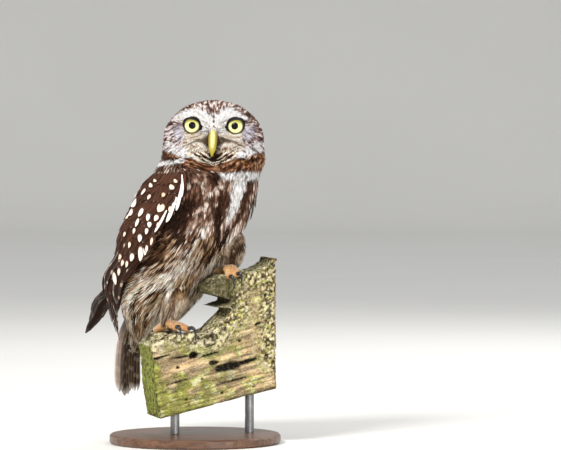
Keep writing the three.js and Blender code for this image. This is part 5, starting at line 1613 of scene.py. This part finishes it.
def photo_spots(table, cov, g):
    qs = np.linspace(-0.02, 1.0, 140)
    for px, py, bw, bl, warm, lean in SPOTS:
        x, z = (px - 195) * 0.70, (443 - py) * 0.70
        on = wing_at(table, np.full(140, z), qs, np.zeros(140))
        seen = on[1][:, 1] < 0.05
        d = np.where(seen, np.abs(on[0][:, 0] - x), 99)
        q = qs[d.argmin()]
        turned = max(-on[1][d.argmin(), 1], 0.35)
        br, ln = bw * 0.70, bl * 0.70
        W = max(2.5, br * 0.62 / turned)
        L = max(11.0, ln * 1.6)
        up, down = L * 0.74, L * 0.26
        z0, z1 = min(z + up * 0.93, 189.5), z - down * 0.93
        # the lean in the picture against the wing's own lines
        axis = wing_at(table, np.array([z0, z1]), np.array([q, q]), np.zeros(2))[0]
        own = math.degrees(math.atan2(axis[0, 0] - axis[1, 0], max(z0 - z1, 1)))
        across = arc_width(table, z) * turned
        dq = math.tan(math.radians(lean - own)) * L / max(across, 8)
        p, s, n, w = on_wing(table, z0, q - dq * 0.74, z1, q + dq * 0.26, W, -1.2, 1.15, -0.05, R=14, tip=0.5)
        tone = WING * (0.62 + 0.3 * g.random())
        cov.add(p, s, n, w, tone, (0.76, 0.5, 0), (0.62 * ln / L, min(0.56, 0.60 * br / (2 * W * turned)), 1.0), warm, (0, 0, 0.05), key=(round(z1 / 9), q), thick=0.3, camber=0.12)


def front_edge(table, cov_name):
    """The wing's pale leading line: three slender feathers whose outer webs are white."""
    e = Vanes()
    for (z0, q0, z1, q1, W, ed) in ((188.5, 0.05, 173, -0.02, 0.95, 1.0), (182, 0.035, 164, -0.035, 1.35, 1.0), (173, 0.03, 156, -0.02, 1.5, 1.0), (164, 0.05, 149, 0.01, 1.0, 0.9)):
        p, s, n, w = on_wing(table, z0, q0, z1, q1, W, 0.2, 1.5, -0.3, R=14, tip=0.3)
        e.add(p, s, n, w, WHITE, *NO_SPOT, 0.0, (ed, ed, ed), key=(round(z1), q1))
    e.write(cov_name, MAT["covert"], "wing_feathers")


wing("right", NEAR_WING, True, 501)
wing("left", FAR_WING, False, 502)
front_edge(NEAR_WING, "edge_right")
front_edge(FAR_WING, "edge_left")

# tail
tail = Vanes()
g_ = np.random.default_rng(610)
for i in range(12):
    k = i // 2  # 0 the middle pair
    sd = 1 if i % 2 else -1
    z1 = 29.2 + 0.7 * k + 3.2 * g_.random()
    t, w = blade(20, 0.14, 0.62, 1.8)
    z = 104 + (z1 - 104) * t
    r = row(TAIL, np.clip(z, 28, 101))
    off = (0.9 + 1.75 * k) * sd
    across = off * (0.45 + 0.55 * smooth(0.0, 0.6, t)) * np.clip(r[:, 2] / 11.5, 0.3, 1.1)
    s_ = r[:, 1] - 1.2 + 0.52 * k + 0.15 * (sd > 0) + 0.8 * smooth(0.7, 1.0, t) * (k == 5)
    c = bird(s_, across, z)
    T = unit(np.gradient(c, axis=0))
    n = bird(1, 0.05 * sd * k, 0)[None] - bird(0, 0, 0)[None]
    n = unit(n - T * (T * n).sum(-1, keepdims=True))
    s = unit(np.cross(n, T))
    s = s * np.sign((s * (bird(0, 1, 0) - bird(0, 0, 0))).sum(-1, keepdims=True))
    out_edge = (0.6, 0.05) if sd < 0 else (0.05, 0.6)
    # painted light: the outer feathers on the bird's right, the side the key lamp lights, are paler
    tone = lin(196, 176, 166) if (k == 5 and sd > 0) else lin(142, 120, 108) if (k >= 3 and sd > 0) else lin(92, 72, 55) * (0.8 + 0.5 * g_.random())
    tail.add(c, s, n, w * 2.7, tone, (5.2, 0.24, g_.random()), (0.16, 0.30, 0.20), 0.3, (*out_edge, 0.8), key=(k, sd), camber=0.08, thick=0.34)
tail.write("tail_vanes", MAT["quill"], "tail_feathers")
print("tail", counts["tail_vanes"])


# ------------------------------------------------------------------ eyes
GAZE = {"right": (0.35, 0.3), "left": (-0.75, 0.3)}


def eyeball(name):
    e = EYES[name]
    th, ph = np.linspace(0, math.radians(118), 60), np.arange(64) * 2 * np.pi / 64
    r = EYE_R * np.sin(th)[:, None] + 0 * ph
    y = -EYE_R * np.cos(th)[:, None] - 0.75 * np.clip(1 - (r / 5.9) ** 2, 0, 1) ** 1.2
    x, z = r * np.cos(ph), r * np.sin(ph)
    v = np.stack([e[0] + x, e[1] + y + 0 * ph, e[2] + z], -1)
    gx, gz = GAZE[name]
    w = np.clip(1 - (r / 5.2) ** 2, 0, 1)
    gaze = np.stack([x - gx * w, z - gz * w, np.hypot(x - gx * w, z - gz * w)], -1)
    vv = np.concatenate([v.reshape(-1, 3), [v[-1].mean(0) + [0, 2.0, 0]]])
    gg = np.concatenate([gaze.reshape(-1, 3), [[0, 0, 8]]])
    m, n = v.shape[:2]
    j = np.arange(n)
    f = np.concatenate([grid_faces(m, n), np.stack([np.full(n, m * n), (m - 1) * n + j, (m - 1) * n + (j + 1) % n], 1)])
    a, b, c = (vv[f[:, q]] - e for q in range(3))
    if np.einsum("ij,ij->", np.cross(a, b), c) < 0:
        f = f[:, ::-1]
    o = write_mesh("eye_ball_" + name, vv, f, values={"gaze": gg})
    return finish_piece(o, MAT["eye"], "iris", "eye_" + name)


for side_ in ("right", "left"):
    eyeball(side_)

# ------------------------------------------------------------------ bill
UPPER = ([(13.4, -33, 218.5), (13.4, -38.8, 217.0), (13.3, -43.0, 212.5), (13.0, -45, 206.5), (12.6, -43.4, 201)], [(2.3, 2.6), (2.8, 3.2), (3.15, 3.4), (2.5, 2.6), (0.55, 0.6)])
LOWER = ([(13.3, -33, 207.6), (13.2, -37.5, 206.4), (13, -40.8, 204.6)], [(3.3, 2.4), (2.9, 2.1), (1.2, 0.9)])


def bill_piece(name, node, path, radii, ridge):
    v, f, along, up, C, _ = tube(path, radii, level=(1, 0, 0), rings=44, sides=36)
    # a keel along the top
    seg = np.clip(np.rint(along * (len(C) - 1)).astype(int), 0, len(C) - 1)
    off = v - C[seg]
    side = off[:, 0]
    front = (-off[:, 1] + 0.35 * off[:, 2])
    if ridge:
        v = v + np.stack([-side * 0.16 * smooth(0.2, 2.6, front), np.zeros(len(v)), np.zeros(len(v))], 1)
        for sx in (-1, 1):  # nostrils
            d = np.linalg.norm((v - np.array([13.4 + sx * 2.5, -41.0, 218.2])) * [1, 0.9, 0.75], axis=1)
            v = v + np.array([-sx * 0.55, 0.5, 0]) * np.exp(-((d / 0.9) ** 2))[:, None]
    o = write_mesh(name, v, f, values={"along": np.stack([along, np.clip(front / 3.2, -1, 1), side], 1)})
    return finish_piece(o, MAT["bill"], "bill", node)


bill_piece("bill_top", "bill_upper", *UPPER, True)
bill_piece("bill_under", "bill_lower", *LOWER, False)

# ------------------------------------------------------------------ claws
for foot in ("right", "left"):
    for k, toe in enumerate(TOES[foot]):
        knuckle, end, bend, tip = (np.array(q, float) for q in toe)
        out = unit(end - knuckle)
        root = end + 1.2 * out + [0, 0, 0.9]
        high = root + (bend - root) * 0.55 + [0, 0, 1.5]
        v, f, along, up, _, _ = tube([root - out * 1.0, root, high, bend, tip], [(1.3, 1.3), (1.4, 1.4), (1.15, 1.25), (0.8, 0.9), (0.25, 0.25)], level=(out[1], -out[0], 0), rings=26, sides=16)
        o = write_mesh("claw_horn_%s_%d" % (foot, k + 1), v, f, values={"along": np.stack([along, up, along * 0], 1)})
        finish_piece(o, MAT["claw"], "claw", "claw_%s_%d" % (foot, k + 1))

# ------------------------------------------------------------------ the old timber
OUTLINE = np.array([(-24.5, 18), (-28.6, 43), (-29.6, 60), (-31.6, 69), (-28, 73), (-22, 76.8), (-9, 77.6), (3, 77.4), (11, 79), (17, 83.4), (23.5, 89.4), (27.6, 94.2),
                    (15.5, 95.6), (27.4, 99.8), (20, 102.6), (8.4, 105.2), (6.2, 111), (11.2, 116), (18, 118), (26, 118.6), (34, 120.6), (43, 121), (52, 124.2), (60, 131), (60, 38)], float)
PIVOT, TURN, THICK = np.array([-8.4, -24.0]), math.radians(14.5), 42.0


def timber_to_world(x, d, z):
    c, s = math.cos(TURN), math.sin(TURN)
    return np.stack([PIVOT[0] + (x - PIVOT[0]) * c - d * s, PIVOT[1] + (x - PIVOT[0]) * s + d * c, z], -1)


def world_to_timber(v):
    c, s = math.cos(TURN), math.sin(TURN)
    x, y = v[:, 0] - PIVOT[0], v[:, 1] - PIVOT[1]
    return np.stack([PIVOT[0] + x * c + y * s, -x * s + y * c, v[:, 2]], -1)


def edge_distance(x, z):
    """How far inside the outline a point lies."""
    a, b = OUTLINE, np.roll(OUTLINE, -1, 0)
    d = np.full(x.shape, 1e9)
    for p, q in zip(a, b):
        e = q - p
        t = np.clip(((x - p[0]) * e[0] + (z - p[1]) * e[1]) / (e @ e), 0, 1)
        d = np.minimum(d, np.hypot(x - p[0] - t * e[0], z - p[1] - t * e[1]))
    return d


def fbm(p, scale, seed, octaves=4, gain=0.55):
    s, a, w = 0, 1.0, 0
    for k in range(octaves):
        s = s + a * vnoise(p, scale * 2.03**k, seed + k)
        w += a
        a *= gain
    return s / w


def ridge(p, scale, seed, octaves=3):
    return 1 - np.abs(2 * fbm(p, scale, seed, octaves) - 1)


# holes and cracks of the front: across, up, half breadth, half height, depth, lean
HOLES = [(0.2, 62.4, 3.5, 2.5, 7.0, 12), (25.5, 54.0, 10.5, 3.0, 5.5, 10), (38.5, 57.6, 7.0, 1.5, 4.0, 16), (14.5, 57.2, 3.5, 1.6, 3.5, 8), (40.0, 22.0, 2.2, 1.6, 5.0, 10), (-11.2, 54.2, 1.3, 0.9, 3.0, 0),
         (-25.0, 61.0, 9.5, 0.85, 2.4, 17), (-9.5, 61.3, 6.5, 0.75, 2.2, 8), (11.0, 62.8, 7.0, 0.75, 2.2, 15), (12.0, 69.0, 5.0, 0.7, 1.4, 16), (30.0, 45.0, 12.0, 0.7, 2.0, 13), (-12.0, 44.0, 9.0, 0.6, 1.8, 14), (46.0, 84.0, 2.2, 0.9, 2.5, 20), (20.5, 36.0, 1.0, 0.8, 2.2, 0), (52.0, 62.0, 0.9, 0.8, 2.0, 0), (33.0, 72.0, 1.2, 0.8, 2.2, 10), (6.0, 46.0, 0.9, 0.7, 2.0, 0),
         (43.0, 40.0, 1.1, 0.7, 2.0, 0), (-5.0, 32.0, 0.9, 0.8, 2.0, 0), (52.0, 104.0, 1.3, 1.0, 2.5, 0), (38.0, 97.0, 1.0, 0.8, 2.0, 0)]


def build_timber():
    n = len(OUTLINE)
    ring = np.stack([OUTLINE[:, 0], 0 * OUTLINE[:, 0], OUTLINE[:, 1]], -1)
    me = bpy.data.meshes.new("timber_block")
    c, s = math.cos(TURN), math.sin(TURN)
    front, back = timber_to_world(OUTLINE[:, 0], 0.25 + 0 * OUTLINE[:, 0], OUTLINE[:, 1]), timber_to_world(OUTLINE[:, 0], THICK - 0.25 + 0 * OUTLINE[:, 0], OUTLINE[:, 1])
    me.from_pydata([tuple(q * MM) for q in np.concatenate([front, back])], [], [list(range(n)), list(range(2 * n - 1, n - 1, -1))] + [[i, i + n, (i + 1) % n + n, (i + 1) % n] for i in range(n)])
    me.update()
    o = bpy.data.objects.new("timber_block", me)
    scene.collection.objects.link(o)
    m = o.modifiers.new("cells", "REMESH")
    m.mode, m.voxel_size = "VOXEL", 0.72 * MM
    s = o.modifiers.new("settle", "SMOOTH")
    s.factor, s.iterations = 0.5, 6
    dg = bpy.context.evaluated_depsgraph_get()
    e = o.evaluated_get(dg).to_mesh()
    e.calc_loop_triangles()
    v = np.empty(len(e.vertices) * 3, np.float32)
    e.vertices.foreach_get("co", v)
    nn = np.empty(len(e.vertices) * 3, np.float32)
    e.vertices.foreach_get("normal", nn)
    f = np.empty(len(e.loop_triangles) * 3, np.int32)
    e.loop_triangles.foreach_get("vertices", f)
    v, nn, f = v.reshape(-1, 3).astype(float) / MM, nn.reshape(-1, 3).astype(float), f.reshape(-1, 3)
    bpy.data.objects.remove(o, do_unlink=True)
    return v, nn, f


def timber():
    v, n, f = build_timber()
    q = world_to_timber(v)
    x, d, z = q[:, 0], q[:, 1], q[:, 2]
    # along the grain and across it
    A = math.radians(14)
    al, ac = x * math.cos(A) + z * math.sin(A), -x * math.sin(A) + z * math.cos(A)
    gp = np.stack([al * 0.14, d * 0.6, ac], -1)
    inside = edge_distance(x, z)
    is_front, is_back = smooth(0.5, 0.9, -(n @ np.array([math.sin(TURN) * -1, math.cos(TURN), 0.0]))), smooth(0.5, 0.9, n @ np.array([-math.sin(TURN), math.cos(TURN), 0.0]))
    face = np.maximum(is_front, is_back)
    topness = smooth(0.25, 0.7, n[:, 2])
    rot = smooth(22, 4, inside) * smooth(60, 74, z + 0.28 * x)      # the crumbled upper edge
    rot = np.maximum(rot, smooth(0.2, 0.7, fbm(q, 0.05, 41, 3) * 1.3 - 0.35) * smooth(66, 96, z))
    gr = fbm(gp, 0.55, 21, 4)
    grooves = ridge(gp, 0.34, 25, 3)
    pits = smooth(0.60, 0.80, vnoise(q, 0.62, 33)) + smooth(0.62, 0.78, vnoise(q, 1.05, 34)) * 0.8
    lumps = fbm(q, 0.30, 36, 4)
    sink = 0.25 + 0.55 * gr * (1 - 0.4 * rot) + 0.55 * smooth(0.80, 0.97, grooves) * (1 - rot)
    sink = sink + rot * (1.3 * (1 - lumps) + 1.3 * pits)
    sink = sink + 1.6 * smooth(3.0, 0.0, inside) * (0.4 + 0.6 * vnoise(q, 0.35, 44)) * face
    hole = np.zeros(len(v))
    for hx, hz, a, b, deep, lean in HOLES:
        la = math.radians(lean)
        u, w = (x - hx) * math.cos(la) + (z - hz) * math.sin(la), -(x - hx) * math.sin(la) + (z - hz) * math.cos(la)
        wob = 0.35 * (vnoise(q, 0.7, 51) - 0.5)
        m = smooth(1.12, 0.72, np.hypot(u / a, w / b) + wob) * is_front * (d < 6)
        sink = sink + m * deep
        hole = np.maximum(hole, m * min(1, deep / 2.2))
    # keep the bird's footing
    for foot in ("right", "left"):
        for toe in TOES[foot]:
            a, b = np.array(toe[0], float), np.array(toe[1], float)
            t = np.clip((v - a) @ (b - a) / ((b - a) @ (b - a)), 0, 1)
            near = np.linalg.norm(v - a - t[:, None] * (b - a), axis=1)
            sink = sink * (1 - smooth(9.5, 6, near)) - 0.7 * smooth(7.5, 5, near)
    # the thin splinter by the far foot stays whole
    sink = sink * (1 - 0.85 * smooth(15, 9, np.hypot(x - 13, z - 96)))
    v = v - n * np.minimum(sink, 7.5)[:, None]

    # colours
    cream, tan, moss, lime, dark, umber, green, white = (lin(*c) for c in ((216, 198, 160), (186, 146, 98), (142, 146, 58), (186, 190, 84), (44, 35, 20), (104, 76, 46), (84, 88, 36), (240, 234, 212)))
    n1, n2, n3 = fbm(q, 0.085, 61, 4), fbm(q, 0.22, 65, 4), fbm(gp, 0.5, 68, 3)
    c = cream * (1 - n3[:, None]) + tan * n3[:, None]
    c = c * np.clip(0.86 + 2.3 * (gr[:, None] - 0.5), 0.12, 1.5)

    def over(c, col, w):
        w = np.clip(w, 0, 1)[:, None]
        return c * (1 - w) + col * w

    low = smooth(62, 40, z - 0.24 * x)
    c = over(c, moss * 0.85, 0.85 * smooth(0.47, 0.62, n1 + 0.25 * smooth(6, -14, x) * low - 0.12 * smooth(10, 40, x)))
    c = over(c, lime, 0.75 * smooth(0.50, 0.66, n2) * smooth(0.30, 0.55, n1 + 0.2 * low))
    c = over(c, green * 0.8, 0.7 * smooth(0.55, 0.70, fbm(q, 0.13, 71, 3)) * (0.4 + 0.6 * rot))
    # the crumbled edge: pale crust and rusty specks, with its sunken pits darkened as painted shade
    crust = lin(182, 174, 104) * (0.6 + 0.6 * lumps[:, None])
    c = c * (1 - (rot * 0.75)[:, None]) + crust * (rot * 0.75)[:, None]
    c = over(c, lime * 0.9, rot * 0.8 * smooth(0.46, 0.62, fbm(q, 0.5, 81, 3)))
    c = over(c, lin(176, 118, 70), rot * 0.75 * smooth(0.60, 0.72, fbm(q, 0.4, 84, 3)))
    # painted shade in the sunken pits
    c = over(c, dark, rot * np.clip(pits * 1.3, 0, 1) * 0.95)
    c = over(c, dark, rot * 0.85 * smooth(0.56, 0.66, vnoise(q, 0.9, 86)))
    c = over(c, lin(236, 222, 178), rot * 0.8 * smooth(0.60, 0.72, vnoise(q, 0.8, 87)))
    c = over(c, white * 0.85, 0.5 * smooth(0.62, 0.75, n2) * is_front * (1 - rot))
    # painted shade in the sunken grooves
    c = over(c, dark, 0.75 * smooth(0.82, 0.97, grooves) * (1 - rot) * (0.4 + 0.6 * n2))
    c = over(c, umber * 0.7, 0.65 * smooth(0.52, 0.72, fbm(gp, 0.16, 91, 3)) * smooth(30, 60, 40 + x - 0.2 * z))
    # the end that faces left is mossy all over; the undersides are darkened as painted shade
    end = smooth(0.45, 0.8, -(n @ np.array([math.cos(TURN), math.sin(TURN), 0]))) * (z < 76)
    c = over(c, lin(128, 138, 48) * (0.55 + 0.8 * n2[:, None]), end * 0.92)
    c = over(c, dark, end * 0.8 * smooth(0.49, 0.62, fbm(q, 0.45, 95, 3)))
    c = over(c, lin(176, 180, 84), end * 0.6 * smooth(0.52, 0.64, fbm(q, 0.5, 96, 3)))
    # painted shade on the undersides
    c = over(c, lin(86, 78, 40) * (0.5 + 0.8 * n2[:, None]), smooth(-0.1, -0.55, n[:, 2]) * 0.9)
    c = over(c, lin(192, 190, 148), topness * 0.35 * smooth(0.4, 0.6, n2))
    speck = np.maximum(rot, np.maximum(topness, is_front * smooth(7, 2, inside) * smooth(60, 66, z)))
    lowtop = speck * smooth(30, 12, x)
    c = over(c, lin(228, 218, 176), lowtop * 0.6 * smooth(0.40, 0.55, vnoise(q, 0.34, 98)))
    c = over(c, dark * 0.8, lowtop * 0.92 * smooth(0.52, 0.60, vnoise(q, 0.46, 97)))
    c = over(c, dark, speck * 0.8 * smooth(0.55, 0.64, vnoise(q, 0.66, 88)))
    c = over(c, lin(244, 232, 196), speck * 0.7 * smooth(0.60, 0.70, vnoise(q, 0.60, 89)))
    # painted shade on the splinter under the bird's belly and far foot
    c = over(c, lin(66, 60, 26) * (0.5 + 1.0 * n2[:, None]), 0.85 * smooth(34, 26, x) * smooth(0, 6, x) * smooth(93, 98, z) * smooth(122, 114, z))
    # the sawn end: growth rings, half grown over
    sawn = smooth(0.55, 0.85, n @ np.array([math.cos(TURN), math.sin(TURN), 0.0]))
    ring = 0.5 + 0.5 * np.sin(1.9 * np.hypot(d - 4.0, z - 6.0) + 7.0 * n1 + 2.0 * n2)
    c = over(c, lin(158, 130, 92) * (0.55 + 0.45 * ring[:, None]) * (0.7 + 0.6 * n2[:, None]), sawn * (0.45 + 0.50 * smooth(0.62, 0.42, fbm(q, 0.10, 101, 3))))
    # painted shadow: the holes near black
    c = over(c, lin(18, 14, 8), hole)
    # painted shade in the deepest hollows of the crumbled edge
    deep = smooth(1.6, 3.6, sink) * rot
    c = over(c, dark * 0.7, deep * 0.6)
    o = write_mesh("timber_perch", v, f, c)
    finish_piece(o, MAT["timber"], "old_timber", "perch_timber")
    print("timber", counts["timber_perch"])


timber()

# ------------------------------------------------------------------ stand, floor, light
for node, key in (("stand_base", "wood"), ("stand_rod_front", "steel"), ("stand_rod_back", "steel")):
    o = bpy.data.objects[node]
    o.data.materials.clear()
    o.data.materials.append(MAT[key])


def floor():
    """One sheet: a floor that turns up into a backdrop far behind."""
    y = np.concatenate([np.linspace(-5200, 5200, 40), 5200 + 700 * np.sin(np.linspace(0, np.pi / 2, 24))[1:], np.full(12, 5900.0)])
    z = np.concatenate([np.zeros(40), 700 * (1 - np.cos(np.linspace(0, np.pi / 2, 24)))[1:], np.linspace(760, 3000, 12)])
    x = np.linspace(-5200, 5200, 24)
    v = np.stack(np.broadcast_arrays(x[None, :], y[:, None], z[:, None] - 0.15), -1).reshape(-1, 3)
    o = write_mesh("floor_sheet", v, grid_faces(len(y), len(x), False))
    o.data.materials.append(MAT["floor"])


floor()
world = bpy.data.worlds.new("studio") if scene.world is None else scene.world
scene.world = world
world.use_nodes = True
world.node_tree.nodes["Background"].inputs[0].default_value = (0.97, 0.98, 1.0, 1)
world.node_tree.nodes["Background"].inputs[1].default_value = 0.70


def lamp(name, place, aim, size, power, colour=(1, 1, 1)):
    d = bpy.data.lights.new(name, "AREA")
    d.shape, d.size, d.energy, d.color = "DISK", size, power, colour
    o = bpy.data.objects.new(name, d)
    o.location = Vector(place)
    o.rotation_euler = (Vector(aim) - Vector(place)).to_track_quat("-Z", "Y").to_euler()
    scene.collection.objects.link(o)


lamp("key", (-0.75, -1.15, 1.25), (0, 0, 0.15), 0.55, 33, (1.0, 0.975, 0.94))
lamp("fill", (0.95, -1.4, 0.4), (0, 0, 0.14), 0.9, 15, (1.0, 0.99, 0.98))
lamp("rim", (0.5, 1.1, 1.1), (0, 0, 0.16), 0.7, 9)
scene.view_settings.view_transform = "Standard"

print("triangles", sum(counts.values()), counts)
